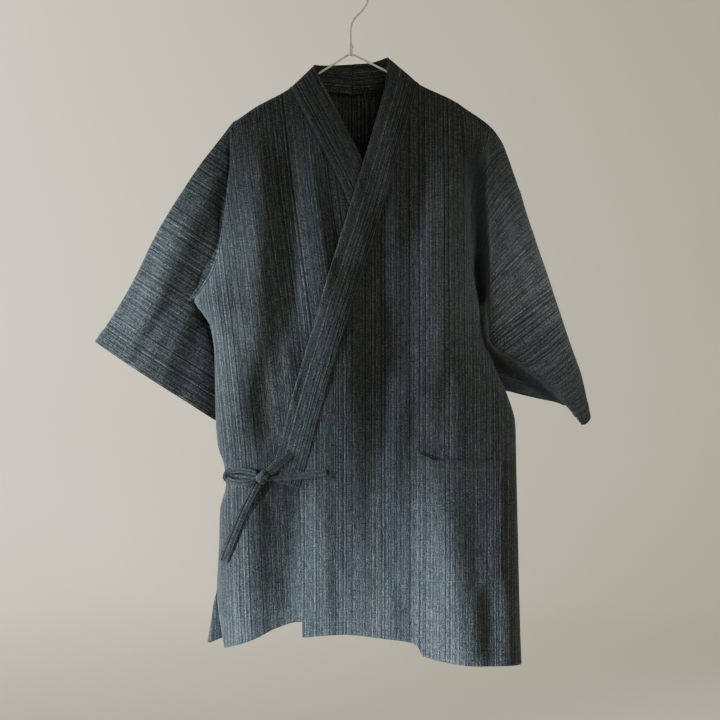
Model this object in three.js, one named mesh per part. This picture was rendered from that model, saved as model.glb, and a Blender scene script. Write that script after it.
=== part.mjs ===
// A jinbei jacket of striped cotton that hangs on a wire hanger.
// Millimetres, +Z up, the front faces -Y. The origin is the seat of the hook, under its bend.
// In names, right and left are the wearer's, so the right front is on the -X side.
import * as THREE from "three";

// Driving sizes
const CLOTH = 1.8;
const BAND = 2.4;
const TIE = 1.6;
const SEAM = 0.5;
const WIDE_SEAM = 0.9;
const LAP = 6;
const TUCK = 5;
const WIRE = 3.2;
const HOOK_RADIUS = 24.8;
const NECK_HEIGHT = -106;
const NECK_RIGHT = -92;
const NECK_LEFT = 101;

// Counts of the panels' rows and columns, and how they crowd towards the shoulder and the side edges
const ROWS = 27;
const UNDERARM_ROW = 12;
const PANEL_COLUMNS = 11;
const FIRST_ROW = 0.008;
const ROW_CROWDING = 1.25;
const COLUMN_CROWDING = 1.35;
// Shares of a panel's length over which its rows turn from the top line and into the hem line
const TOP_SHARE = 0.16;
const HEM_SHARE = 0.84;
const BACK_TOP_SHARE = 0.2;
const BACK_HEM_SHARE = 0.8;

// The body's two side edges, seen from the front, from the shoulder's end to the hem.
// open is half of the gap between front and back: the armhole above, the side slit below.
const RIGHT_EDGE = [
  { z: -207, x: -176, open: 0 }, { z: -213, x: -176, open: 5 }, { z: -265, x: -180, open: 10 },
  { z: -338, x: -188, open: 15 }, { z: -397, x: -195, open: 14 }, { z: -433, x: -207, open: 9 },
  { z: -462, x: -226, open: 3 },
  { z: -475, x: -235, open: 0 }, { z: -496, x: -222, open: 0 }, { z: -514, x: -211, open: 0 },
  { z: -560, x: -205, open: 0 }, { z: -656, x: -203, open: 0 }, { z: -692, x: -200, open: 0 },
  { z: -726, x: -190, open: 0 }, { z: -751, x: -188, open: 0 }, { z: -791, x: -197, open: 0 },
  { z: -835, x: -198, open: 0 }, { z: -911, x: -201, open: 4 }, { z: -993, x: -190, open: 9 },
];
const LEFT_EDGE = [
  { z: -178, x: 158, open: 0 }, { z: -184, x: 160, open: 5 }, { z: -224, x: 165, open: 10 },
  { z: -313, x: 170, open: 15 }, { z: -397, x: 174, open: 12 }, { z: -434, x: 182, open: 7 },
  { z: -464, x: 189, open: 0 },
  { z: -524, x: 200, open: 0 }, { z: -584, x: 219, open: 0 }, { z: -610, x: 232, open: 0 },
  { z: -664, x: 247, open: 0 }, { z: -713, x: 248, open: 0 }, { z: -845, x: 251, open: 0 },
  { z: -950, x: 253, open: 5 }, { z: -1017, x: 255, open: 9 },
];
// Below the slit the back panel's right corner swings out past the front.
const BACK_CORNER = [
  { z: -835, out: 0 }, { z: -903, out: 0 }, { z: -942, out: -9 }, { z: -992, out: -26 },
];

// Top line of the front pieces and of the back, and how far the back's neck lies behind the hook
const FRONT_TOP = [
  { x: -240, z: -236 }, { x: -176, z: -207 }, { x: -143, z: -185 }, { x: -92, z: -157 },
  { x: -54, z: -123 }, { x: 0, z: -118 }, { x: 56, z: -112 }, { x: 101, z: -150 },
  { x: 147, z: -172 }, { x: 158, z: -178 }, { x: 260, z: -236 },
];
const BACK_TOP = [
  { x: -240, z: -236, behind: 0 }, { x: -176, z: -207, behind: 0 }, { x: -143, z: -185, behind: 0 },
  { x: -92, z: -157, behind: 0.5 }, { x: -60, z: -160, behind: 13 }, { x: -26, z: -163, behind: 18 },
  { x: 1, z: -165, behind: 20 }, { x: 47, z: -160, behind: 18 }, { x: 75, z: -155, behind: 11 },
  { x: 101, z: -150, behind: 0.5 }, { x: 147, z: -172, behind: 0 }, { x: 158, z: -178, behind: 0 },
  { x: 260, z: -236, behind: 0 },
];

// How far the cloth stands before and behind the hanger, by the drop below the top line
const FULLNESS = [
  { drop: 0, front: 6, back: 6 }, { drop: 60, front: 14, back: 11 }, { drop: 130, front: 26, back: 17 },
  { drop: 220, front: 38, back: 23 }, { drop: 330, front: 46, back: 27 },
  { drop: 480, front: 52, back: 30 }, { drop: 640, front: 57, back: 34 },
  { drop: 900, front: 64, back: 42 },
];

// Lengthwise folds: middle line from top to bottom, height out of the cloth, half width
const FRONT_FOLDS = [
  { topX: -118, topZ: -180, endX: -148, endZ: -700, out: 7, half: 30 },
  { topX: -88, topZ: -170, endX: -98, endZ: -640, out: -8, half: 24 },
  { topX: -40, topZ: -330, endX: -24, endZ: -960, out: 6, half: 32 },
  { topX: 112, topZ: -230, endX: 84, endZ: -600, out: -7, half: 26 },
  { topX: 140, topZ: -170, endX: 146, endZ: -620, out: 9, half: 24 },
  { topX: -62, topZ: -700, endX: -108, endZ: -1000, out: -7, half: 22 },
  { topX: 130, topZ: -700, endX: 172, endZ: -1060, out: 16, half: 34 },
  { topX: 90, topZ: -890, endX: 86, endZ: -1060, out: -12, half: 18 },
  { topX: -150, topZ: -730, endX: -146, endZ: -1060, out: 8, half: 26 },
];
const BACK_FOLDS = [
  { topX: -120, topZ: -200, endX: -140, endZ: -1060, out: 10, half: 34 },
  { topX: -60, topZ: -300, endX: -58, endZ: -1060, out: -8, half: 30 },
  { topX: 15, topZ: -260, endX: 30, endZ: -1060, out: 9, half: 36 },
  { topX: 92, topZ: -220, endX: 104, endZ: -1060, out: -8, half: 28 },
  { topX: 138, topZ: -190, endX: 178, endZ: -1060, out: 9, half: 30 },
];

// Collar band by its two edges, from the centre back over the shoulder and down the front.
// seam is the edge sewn to the panels, fold is the free doubled edge.
// On the front, where y is not given, the band lies on the fronts.
const RIGHT_BAND = [
  { seamX: 1, seamZ: -165, seamY: 20, foldX: 1, foldZ: -118, foldY: 22 },
  { seamX: -26, seamZ: -163, seamY: 18, foldX: -24, foldZ: -120, foldY: 19 },
  { seamX: -60, seamZ: -160, seamY: 13, foldX: -44, foldZ: -121, foldY: 12 },
  { seamX: -86, seamZ: -155, seamY: 5, foldX: -54, foldZ: -121, foldY: 4 },
  { seamX: -92, seamZ: -157, foldX: -55, foldZ: -125 },
  { seamX: -84, seamZ: -173, foldX: -46, foldZ: -142 },
  { seamX: -52, seamZ: -235, foldX: -12, foldZ: -211 },
  { seamX: -12, seamZ: -314, foldX: 29, foldZ: -292 },
  { seamX: 32, seamZ: -430, foldX: 76, foldZ: -416 },
  { seamX: 72, seamZ: -590, foldX: 116, foldZ: -580 },
  { seamX: 90, seamZ: -745, foldX: 134, foldZ: -742 },
];
const LEFT_BAND = [
  { seamX: 1, seamZ: -165, seamY: 20, foldX: 1, foldZ: -118, foldY: 22 },
  { seamX: 47, seamZ: -160, seamY: 18, foldX: 30, foldZ: -116, foldY: 19 },
  { seamX: 75, seamZ: -155, seamY: 11, foldX: 48, foldZ: -112, foldY: 10 },
  { seamX: 96, seamZ: -148, seamY: 4, foldX: 55, foldZ: -110, foldY: 3 },
  { seamX: 101, seamZ: -150, foldX: 56, foldZ: -114 },
  { seamX: 96, seamZ: -172, foldX: 53, foldZ: -146 },
  { seamX: 68, seamZ: -271, foldX: 24, foldZ: -255 },
  { seamX: 52, seamZ: -329, foldX: 7, foldZ: -312 },
  { seamX: 24, seamZ: -420, foldX: -21, foldZ: -402 },
  { seamX: -5, seamZ: -510, foldX: -49, foldZ: -496 },
  { seamX: -35, seamZ: -609, foldX: -79, foldZ: -597 },
  { seamX: -63, seamZ: -712, foldX: -107, foldZ: -700 },
  { seamX: -74, seamZ: -752, foldX: -116, foldZ: -741 },
];
const OVER_EDGE = [{ z: -752, x: -74 }, { z: -775, x: -72 }, { z: -970, x: -71 }];
const UNDER_EDGE = [{ z: -745, x: 90 }, { z: -948, x: 88 }];
const OVER_OVERLAP_SEAM = -10;
const UNDER_OVERLAP_SEAM = 40;
const OVER_HEM = [
  { x: -71, z: -970 }, { x: -10, z: -966 }, { x: 41, z: -971 }, { x: 86, z: -978 },
  { x: 98, z: -984 }, { x: 104, z: -997 }, { x: 174, z: -1010 }, { x: 255, z: -1017 },
];
const UNDER_HEM = [
  { x: -190, z: -993 }, { x: -137, z: -971 }, { x: -109, z: -958 }, { x: -75, z: -949 },
  { x: 88, z: -948 },
];
const BACK_HEM = [
  { x: -217, z: -992 }, { x: -190, z: -981 }, { x: -137, z: -966 }, { x: -90, z: -953 },
  { x: -40, z: -958 }, { x: 60, z: -972 }, { x: 255, z: -1003 },
];

// Sleeve sections parallel to the cuff, from the armhole at 0 to the cuff at 1.
// t is the top fold, f the front, v and w the turn under the arm, u the underarm seam.
const RIGHT_SLEEVE = [
  { at: 0, tx: -176, ty: 0, tz: -207, fx: -181, fy: -10, fz: -265, vx: -188, vy: -15, vz: -338,
    wx: -205, wy: -10, wz: -430, ux: -235, uy: 0, uz: -475, back: 12 },
  { at: 0.1, tx: -199, ty: 0, tz: -237, fx: -186, fy: -10, fz: -262, vx: -193, vy: -13, vz: -345,
    wx: -217, wy: -7, wz: -430, ux: -244, uy: 2, uz: -479, back: 12 },
  { at: 0.2, tx: -224, ty: 2, tz: -268, fx: -206, fy: -12, fz: -286, vx: -196, vy: -10, vz: -345,
    wx: -227, wy: 3, wz: -438, ux: -246, uy: 11, uz: -486, back: 16 },
  { at: 0.32, tx: -250, ty: 4, tz: -306, fx: -220, fy: -12, fz: -332, vx: -199, vy: -7, vz: -378,
    wx: -230, wy: 13, wz: -455, ux: -235, uy: 23, uz: -506, back: 20 },
  { at: 0.52, tx: -292, ty: 8, tz: -373, fx: -254, fy: -10, fz: -402, vx: -233, vy: 5, vz: -442,
    wx: -226, wy: 24, wz: -484, ux: -207, uy: 29, uz: -560, back: 22 },
  { at: 0.75, tx: -334, ty: 14, tz: -454, fx: -292, fy: -4, fz: -486, vx: -242, vy: 8, vz: -526,
    wx: -207, wy: 20, wz: -575, ux: -198, uy: 29, uz: -612, back: 22 },
  { at: 1, tx: -386, ty: 20, tz: -537, fx: -322, fy: 4, fz: -580, vx: -252, vy: 8, vz: -625,
    wx: -206, wy: 17, wz: -655, ux: -186, uy: 29, uz: -667, back: 24 },
];
const LEFT_SLEEVE = [
  { at: 0, tx: 158, ty: 0, tz: -178, fx: 166, fy: -11, fz: -240, vx: 170, vy: -15, vz: -313,
    wx: 174, wy: -12, wz: -397, ux: 189, uy: 0, uz: -464, back: 12 },
  { at: 0.15, tx: 218, ty: -4, tz: -226, fx: 202, fy: -22, fz: -245, vx: 178, vy: -13, vz: -300,
    wx: 181, wy: -6, wz: -400, ux: 194, uy: 10, uz: -478, back: 18 },
  { at: 0.3, tx: 248, ty: -6, tz: -299, fx: 201, fy: -36, fz: -345, vx: 187, vy: -18, vz: -395,
    wx: 193, wy: 1, wz: -440, ux: 192, uy: 19, uz: -488, back: 22 },
  { at: 0.45, tx: 272, ty: -7, tz: -373, fx: 201, fy: -43, fz: -440, vx: 197, vy: -20, vz: -470,
    wx: 199, wy: 4, wz: -490, ux: 187, uy: 26, uz: -502, back: 24 },
  { at: 0.6, tx: 298, ty: -8, tz: -449, fx: 205, fy: -42, fz: -527, vx: 209, vy: -20, vz: -535,
    wx: 208, wy: 6, wz: -537, ux: 193, uy: 30, uz: -531, back: 26 },
  { at: 0.75, tx: 322, ty: -8, tz: -524, fx: 262, fy: -38, fz: -572, vx: 247, vy: -14, vz: -570,
    wx: 224, wy: 5, wz: -563, ux: 202, uy: 31, uz: -557, back: 26 },
  { at: 0.88, tx: 345, ty: -8, tz: -588, fx: 312, fy: -31, fz: -617, vx: 290, vy: -8, vz: -604,
    wx: 248, wy: 5, wz: -591, ux: 213, uy: 30, uz: -583, back: 26 },
  { at: 1, tx: 357, ty: -10, tz: -649, fx: 345, fy: -22, fz: -661, vx: 320, vy: -5, vz: -633,
    wx: 274, wy: 4, wz: -621, ux: 227, uy: 28, uz: -608, back: 24 },
];

// Patch pocket on the left front
const POCKET = {
  left: 98, right: 222, top: -711, bottom: -890, gap: 1.6,
  liftedCorner: 12, cornerReach: 0.25, gape: 4, gapeDepth: 0.3, gapeFrom: 0.1, gapeTo: 0.9,
};

// Ties: middle line on the fronts, with its distance before them and its width
const SIDE_TIE = [
  { x: -186, z: -733, off: 6.6, width: 12 }, { x: -165, z: -734, off: 7, width: 13 },
  { x: -136, z: -736, off: 8, width: 12 },
];
const FRONT_TIE = [
  { x: -90, z: -703, off: 9.8, width: 14 }, { x: -104, z: -715, off: 11.5, width: 14 },
  { x: -118.8, z: -729, off: 14, width: 13 },
];
const TAIL_SIDE = [
  { x: -116.6, z: -738, off: 14, width: 6 }, { x: -80, z: -735, off: 13, width: 9 },
  { x: -35, z: -729, off: 12, width: 9 },
];
const TAIL_DOWN = [
  { x: -135.7, z: -744.9, off: 11, width: 12 }, { x: -156, z: -785, off: 9, width: 14 },
  { x: -173, z: -825, off: 11, width: 14 }, { x: -188, z: -861, off: 12, width: 14 },
];
const LOOP = [
  { x: -138.2, z: -730, off: 14, width: 6 }, { x: -162, z: -726, off: 15, width: 8 },
  { x: -181, z: -730, off: 17, width: 9 }, { x: -185, z: -738, off: 21, width: 9 },
  { x: -172, z: -744, off: 23, width: 9 }, { x: -152, z: -744, off: 22, width: 9 },
  { x: -139.5, z: -741, off: 18, width: 8 },
];
const KNOT = { x: -128, z: -736, off: 13, halfX: 11.5, halfY: 7, halfZ: 10, turn: -0.5 };

// Wire hanger: each arm runs just under the shoulder line
const ARM_DROP = 5.6;
const RIGHT_ARM = { startX: -4.4, startZ: -107, shoulderX: -92, endX: -166, endDrop: 0 };
const LEFT_ARM = { startX: 4.4, startZ: -107, shoulderX: 101, endX: 182, endDrop: 7 };

// A smooth line through a table's rows that never swings past them
function through(rows, key, value) {
  const sorted = [...rows].sort((a, b) => a[key] - b[key]);
  const x = sorted.map((row) => row[key]);
  const y = sorted.map((row) => row[value]);
  const last = x.length - 1;
  const slope = [];
  for (let i = 0; i < last; i += 1) slope.push((y[i + 1] - y[i]) / (x[i + 1] - x[i]));
  const tangent = x.map((_, i) => {
    if (i === 0) return slope[0];
    if (i === last) return slope[last - 1];
    if (slope[i - 1] * slope[i] <= 0) return 0;
    return (2 * slope[i - 1] * slope[i]) / (slope[i - 1] + slope[i]);
  });
  return (at) => {
    const here = Math.min(Math.max(at, x[0]), x[last]);
    let i = 0;
    while (i < last - 1 && here > x[i + 1]) i += 1;
    const span = x[i + 1] - x[i];
    const t = (here - x[i]) / span;
    const s = 1 - t;
    return y[i] * (1 + 2 * t) * s * s + tangent[i] * span * t * s * s
      + y[i + 1] * (3 - 2 * t) * t * t - tangent[i + 1] * span * t * t * s;
  };
}

const mix = (a, b, t) => a + (b - a) * t;
const clamp = (t) => Math.min(Math.max(t, 0), 1);
const ease = (from, to, at) => {
  const t = clamp((at - from) / (to - from));
  return t * t * (3 - 2 * t);
};
// Rises from 0 to 1 as a quarter circle, so that cloth turns softly round an edge
const roll = (distance, radius) => Math.sqrt(1 - (1 - clamp(distance / radius)) ** 2);

const rightEdge = through(RIGHT_EDGE, "z", "x");
const leftEdge = through(LEFT_EDGE, "z", "x");
const rightOpen = through(RIGHT_EDGE, "z", "open");
const leftOpen = through(LEFT_EDGE, "z", "open");
const backCorner = through(BACK_CORNER, "z", "out");
const frontTop = through(FRONT_TOP, "x", "z");
const neckBack = through(BACK_TOP, "x", "z");
// The back's top: the front's own line on the shoulders, and the neck's curve between them
const backTop = (x) => (x < NECK_RIGHT || x > NECK_LEFT ? frontTop(x) : neckBack(x));
const backBehind = through(BACK_TOP, "x", "behind");
const frontFullness = through(FULLNESS, "drop", "front");
const backFullness = through(FULLNESS, "drop", "back");
const overHem = through(OVER_HEM, "x", "z");
const underHem = through(UNDER_HEM, "x", "z");
const backHem = through(BACK_HEM, "x", "z");
const overEdge = through(OVER_EDGE, "z", "x");
const underEdge = through(UNDER_EDGE, "z", "x");

function folds(table, x, z) {
  let sum = 0;
  for (const fold of table) {
    const along = (fold.topZ - z) / (fold.topZ - fold.endZ);
    const middle = mix(fold.topX, fold.endX, along);
    const reach = ease(-0.05, 0.3, along) * (1 - ease(0.8, 1.05, along));
    sum += fold.out * reach * Math.exp(-(((x - middle) / fold.half) ** 2));
  }
  return sum;
}

// Share of the length at which a row of a panel lies: one row just under the top rounds it
const rowShare = (j) => {
  if (j === 0) return 0;
  if (j === 1) return FIRST_ROW;
  return ((j - 1) / (ROWS - 1)) ** ROW_CROWDING;
};
const rightSideZ = (j) => mix(RIGHT_EDGE[0].z, RIGHT_EDGE[RIGHT_EDGE.length - 1].z, rowShare(j));
const leftSideZ = (j) => mix(LEFT_EDGE[0].z, LEFT_EDGE[LEFT_EDGE.length - 1].z, rowShare(j));

const SIDE_ROLL_FRONT = 75;
const SIDE_ROLL_BACK = 110;
const TOP_TURN = 16;
const TURN_GROWTH = 150;
const TOP_ROLL = 9;
const FOLD_START = 120;
const TUCK_REACH = 70;
const LAP_FROM = 15;
const LAP_FULL = 110;
const LAP_FADES = 150;
const LAP_ENDS = 215;
const BEHIND_REACH = 110;

// Depth of the cloth before (-) the hanger's plane
function underFront(x, z) {
  const drop = frontTop(x) - z;
  const fromRight = x - rightEdge(z);
  const fromLeft = leftEdge(z) - x;
  const open = x < 0 ? rightOpen(z) : leftOpen(z);
  const turn = mix(TOP_TURN, SIDE_ROLL_FRONT, ease(0, TURN_GROWTH, drop));
  const sides = roll(fromRight, turn) * roll(fromLeft, turn);
  const form = open + (frontFullness(drop) - open) * sides + folds(FRONT_FOLDS, x, z) * sides
    * ease(0, FOLD_START, drop);
  return -SEAM / 2 - Math.max(form, open) * roll(drop, TOP_ROLL);
}

// Where the over front hides it, the under front lies deeper
function tuckedFront(x, z) {
  return underFront(x, z) + TUCK * ease(0, TUCK_REACH, x);
}

// The over front stands clear of the under front as far as that reaches
function overFront(x, z) {
  const drop = frontTop(x) - z;
  const lap = LAP * ease(LAP_FROM, LAP_FULL, drop) * (1 - ease(LAP_FADES, LAP_ENDS, x));
  return underFront(x, z) - lap;
}

function backDepth(x, z) {
  const drop = backTop(x) - z;
  const fromRight = x - rightEdge(z);
  const fromLeft = leftEdge(z) - x;
  const open = x < 0 ? rightOpen(z) : leftOpen(z);
  const turn = mix(TOP_TURN, SIDE_ROLL_BACK, ease(0, TURN_GROWTH, drop));
  const sides = roll(fromRight, turn) * roll(fromLeft, turn);
  const form = open + (backFullness(drop) - open) * sides + folds(BACK_FOLDS, x, z) * sides
    * ease(0, FOLD_START, drop);
  const behind = backBehind(x) * (1 - ease(0, BEHIND_REACH, drop));
  return SEAM / 2 + Math.max(form, open) * roll(drop, TOP_ROLL) + behind;
}

// A closed wall from a grid of outer points, each with the way out of the cloth there
function wall(rows, thickness, isTube = false) {
  const columns = rows[0].length;
  const positions = [];
  for (const side of [0, thickness]) {
    for (const row of rows) {
      for (const { p, n } of row) positions.push(...p.map((value, axis) => value - n[axis] * side));
    }
  }
  const inner = rows.length * columns;
  const index = [];
  const quad = (a, b, c, d) => index.push(a, b, c, a, c, d);
  const across = isTube ? columns : columns - 1;
  for (let j = 0; j < rows.length - 1; j += 1) {
    for (let i = 0; i < across; i += 1) {
      const next = (i + 1) % columns;
      const a = j * columns + i;
      const b = j * columns + next;
      const c = (j + 1) * columns + next;
      const d = (j + 1) * columns + i;
      quad(a, b, c, d);
      quad(inner + a, inner + d, inner + c, inner + b);
    }
  }
  const end = (rows.length - 1) * columns;
  for (let i = 0; i < across; i += 1) {
    const next = (i + 1) % columns;
    quad(next, i, inner + i, inner + next);
    quad(end + i, end + next, inner + end + next, inner + end + i);
  }
  if (!isTube) {
    for (let j = 0; j < rows.length - 1; j += 1) {
      const a = j * columns;
      const d = a + columns;
      quad(a, d, inner + d, inner + a);
      quad(d + columns - 1, a + columns - 1, inner + a + columns - 1, inner + d + columns - 1);
    }
  }
  return turnedOut(positions, index);
}

// A geometry whose faces point out, whichever way its rows ran
function turnedOut(positions, index) {
  const at = (i) => new THREE.Vector3().fromArray(positions, i * 3);
  let volume = 0;
  for (let i = 0; i < index.length; i += 3) {
    volume += at(index[i]).dot(at(index[i + 1]).cross(at(index[i + 2])));
  }
  if (volume < 0) index.reverse();
  const geometry = new THREE.BufferGeometry();
  geometry.setAttribute("position", new THREE.Float32BufferAttribute(positions, 3));
  geometry.setIndex(index);
  geometry.computeVertexNormals();
  return geometry;
}

// The way out of a surface y = depth(x, z); facing is -1 on the front and 1 on the back
function wayOut(depth, x, z, facing) {
  const step = 0.5;
  const byX = (depth(x + step, z) - depth(x - step, z)) / (2 * step);
  const byZ = (depth(x, z + step) - depth(x, z - step)) / (2 * step);
  return new THREE.Vector3(-byX * facing, facing, -byZ * facing).normalize().toArray();
}

const SLOPE_REACH = 4;
const facingSide = (edge, z, sign) => {
  const slope = (edge(z + SLOPE_REACH) - edge(z - SLOPE_REACH)) / (2 * SLOPE_REACH);
  return new THREE.Vector3(sign, 0, -sign * slope).normalize().toArray();
};
const facingTop = (top, x) => {
  const slope = (top(x + SLOPE_REACH) - top(x - SLOPE_REACH)) / (2 * SLOPE_REACH);
  return new THREE.Vector3(-slope, 0, 1).normalize().toArray();
};

// The points that a collar seam or a free edge passes, as a function of a share of its length
function edgeLine(points) {
  const curve = new THREE.CatmullRomCurve3(points, false, "centripetal");
  curve.arcLengthDivisions = 400;
  return (share) => curve.getPointAt(clamp(share));
}
const flat = (x, z) => new THREE.Vector3(x, 0, z);

// Number of band rows behind the shoulder line; the rest lie on the fronts
const BACK_ROWS = 4;
const bandLine = (band, edge) => edgeLine(band.slice(BACK_ROWS).map((row) =>
  flat(row[`${edge}X`], row[`${edge}Z`])));
const rightSeamLine = bandLine(RIGHT_BAND, "seam");
const leftSeamLine = bandLine(LEFT_BAND, "seam");

const HALVINGS = 40;

// Where a seam line passes a given upright line
function crossing(line, x) {
  let low = 0;
  let high = 1;
  const rising = line(1).x > line(0).x;
  for (let i = 0; i < HALVINGS; i += 1) {
    const middle = (low + high) / 2;
    if ((line(middle).x < x) === rising) low = middle;
    else high = middle;
  }
  return low;
}

// A front's main panel: rows run from the side edge to the collar seam, then to the overlap's seam
function frontPanel({ edge, sign, top, hem, seamLine, overlapSeam, depth }) {
  const sideAt = sign < 0 ? rightSideZ : leftSideZ;
  const sideTop = sideAt(0);
  const sideEnd = sideAt(ROWS);
  const crossShare = crossing(seamLine, overlapSeam);
  const crossPoint = seamLine(crossShare);
  const innerStart = seamLine(0).z;
  const innerEnd = hem(overlapSeam);
  const rows = [];
  for (let j = 0; j <= ROWS; j += 1) {
    const v = rowShare(j);
    const sideZ = sideAt(j);
    const aimZ = mix(innerStart, innerEnd, v);
    const inner = aimZ > crossPoint.z ? seamAtHeight(seamLine, aimZ) : flat(overlapSeam, aimZ);
    const innerX = inner.x + sign * SEAM / 2;
    const row = [];
    for (let i = 0; i <= PANEL_COLUMNS; i += 1) {
      const u = (i / PANEL_COLUMNS) ** COLUMN_CROWDING;
      const x = mix(edge(sideZ), innerX, u);
      let z = mix(sideZ, aimZ, u);
      const keepTop = 1 - ease(0, TOP_SHARE, v);
      z += (top(mix(edge(sideTop), seamLine(0).x, u)) - mix(sideTop, innerStart, u)) * keepTop;
      const keepHem = ease(HEM_SHARE, 1, v);
      z += (hem(x) - mix(sideEnd, innerEnd, u)) * keepHem;
      if (i === 0) z = sideZ;
      const p = [x, depth(x, z), z];
      let n = wayOut(depth, x, z, -1);
      if (j === 0) {
        p[1] = -SEAM / 2;
        n = facingTop(top, x);
      } else if (i === 0) {
        p[1] = -SEAM / 2 - (sign < 0 ? rightOpen(z) : leftOpen(z));
        n = facingSide(edge, z, sign);
      }
      row.push({ p, n });
    }
    rows.push(row);
  }
  return wall(rows, CLOTH);
}

function seamAtHeight(line, z) {
  let low = 0;
  let high = 1;
  for (let i = 0; i < HALVINGS; i += 1) {
    const middle = (low + high) / 2;
    if (line(middle).z > z) low = middle;
    else high = middle;
  }
  return line(low);
}

// The narrow panel beside a front's free edge, cut to a point where it meets the collar.
// It starts this far under the point where its seam meets the collar's.
const OVERLAP_POINT = 10;
function overlapPanel({ seamX, seamLine, freeEdge, freeTop, hem, depth, sign }) {
  const crossZ = seamLine(crossing(seamLine, seamX)).z;
  const startZ = crossZ - OVERLAP_POINT;
  const endZ = hem(seamX);
  const steps = 15;
  const columns = 3;
  const rows = [];
  for (let j = 0; j <= steps; j += 1) {
    const z0 = mix(startZ, endZ, j / steps);
    const outerX = z0 > freeTop ? seamAtHeight(seamLine, z0).x + sign * SEAM / 2 : freeEdge(z0);
    const row = [];
    for (let i = 0; i <= columns; i += 1) {
      const x = mix(seamX - sign * SEAM / 2, outerX, i / columns);
      const z = z0 + (hem(x) - endZ) * ease(BACK_HEM_SHARE, 1, j / steps);
      row.push({ p: [x, depth(x, z), z], n: wayOut(depth, x, z, -1) });
    }
    rows.push(row);
  }
  return wall(rows, CLOTH);
}

// The back: rows run from side to side, its top follows the shoulders and the collar's seam
function backPanel() {
  const shoulder = 4;
  const neck = 8;
  const columns = 2 * shoulder + neck;
  const rightEndX = RIGHT_EDGE[0].x;
  const leftEndX = LEFT_EDGE[0].x;
  const topX = (i) => {
    if (i <= shoulder) return mix(rightEndX, NECK_RIGHT, i / shoulder);
    if (i <= shoulder + neck) return mix(NECK_RIGHT, NECK_LEFT, (i - shoulder) / neck);
    return mix(NECK_LEFT, leftEndX, (i - shoulder - neck) / shoulder);
  };
  // Columns start as the top line's points and soon crowd towards the sides in a half wave
  const waveStart = 0.12;
  const crowd = (u) => 0.5 - 0.5 * Math.cos(Math.PI * mix(waveStart, 1 - waveStart, u));
  const sideCrowd = (u) => (crowd(u) - crowd(0)) / (crowd(1) - crowd(0));
  const crowdedBy = 0.25;
  const slitCornerLean = 0.3;
  const rightX = (z) => rightEdge(z) + backCorner(z);
  const rightEnd = rightSideZ(ROWS);
  const leftEnd = leftSideZ(ROWS);
  const rows = [];
  for (let j = 0; j <= ROWS; j += 1) {
    const v = rowShare(j);
    const rightZ = rightSideZ(j);
    const leftZ = leftSideZ(j);
    const row = [];
    for (let i = 0; i <= columns; i += 1) {
      const topShare = (topX(i) - rightEndX) / (leftEndX - rightEndX);
      const across = mix(topShare, sideCrowd(i / columns), ease(0, crowdedBy, v));
      const x = mix(rightX(rightZ), leftEdge(leftZ), across);
      let z = mix(rightZ, leftZ, across);
      const keepTop = 1 - ease(0, BACK_TOP_SHARE, v);
      z += (backTop(topX(i)) - mix(RIGHT_EDGE[0].z, LEFT_EDGE[0].z, across)) * keepTop;
      z += (backHem(x) - mix(rightEnd, leftEnd, across)) * ease(BACK_HEM_SHARE, 1, v);
      const p = [x, backDepth(x, z), z];
      let n = wayOut(backDepth, x, z, 1);
      const onNeck = i > shoulder && i < shoulder + neck;
      if (j === 0) {
        p[1] = SEAM / 2 + backBehind(x);
        p[2] = backTop(x) - (onNeck ? SEAM / 2 : 0);
        n = onNeck ? [0, 1, 0] : facingTop(backTop, x);
      } else if (i === 0) {
        p[1] = SEAM / 2 + rightOpen(rightZ) - backCorner(rightZ) * slitCornerLean;
        n = facingSide(rightX, rightZ, -1);
      } else if (i === columns) {
        p[1] = SEAM / 2 + leftOpen(leftZ);
        n = facingSide(leftEdge, leftZ, 1);
      }
      row.push({ p, n });
    }
    rows.push(row);
  }
  return wall(rows, CLOTH);
}

// An inner band behind the neck that keeps the back from stretching
const YOKE = { right: -80, left: 90, topDrop: 14, bottom: -239, gap: 1.2, thickness: 1.2 };
function backYoke() {
  const columns = 10;
  const steps = 4;
  const inside = CLOTH + YOKE.gap;
  const rows = [];
  for (let j = 0; j <= steps; j += 1) {
    const row = [];
    for (let i = 0; i <= columns; i += 1) {
      const x = mix(YOKE.right, YOKE.left, i / columns);
      const z = mix(backTop(x) - YOKE.topDrop, YOKE.bottom, j / steps);
      const n = wayOut(backDepth, x, z, 1);
      const y = backDepth(x, z);
      row.push({ p: [x - n[0] * inside, y - n[1] * inside, z - n[2] * inside], n });
    }
    rows.push(row);
  }
  return wall(rows, YOKE.thickness);
}

// The collar band: sections across it, from the centre back over the shoulder to its end
function collar(band, depth, sign, frontSections) {
  const proud = 0.7;
  const across = 3;
  const behind = band.slice(0, BACK_ROWS).map((row) => [
    new THREE.Vector3(row.seamX, row.seamY, row.seamZ),
    new THREE.Vector3(row.foldX, row.foldY, row.foldZ),
  ]);
  behind[0].forEach((p) => p.setX(p.x + sign * SEAM / 2));
  const seamLine = bandLine(band, "seam");
  const foldLine = bandLine(band, "fold");
  const sections = behind;
  for (let j = 0; j <= frontSections; j += 1) {
    sections.push([seamLine(j / frontSections), foldLine(j / frontSections)]);
  }
  const points = sections.map(([seam, fold], j) => {
    const inward = fold.clone().sub(seam).normalize();
    const start = seam.clone().addScaledVector(inward, WIDE_SEAM);
    const row = [];
    for (let i = 0; i <= across; i += 1) {
      const p = start.clone().lerp(fold, i / across);
      if (j >= BACK_ROWS) p.y = depth(p.x, p.z) - proud;
      row.push(p);
    }
    return row;
  });
  return wall(withNormals(points, sign), BAND);
}

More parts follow.
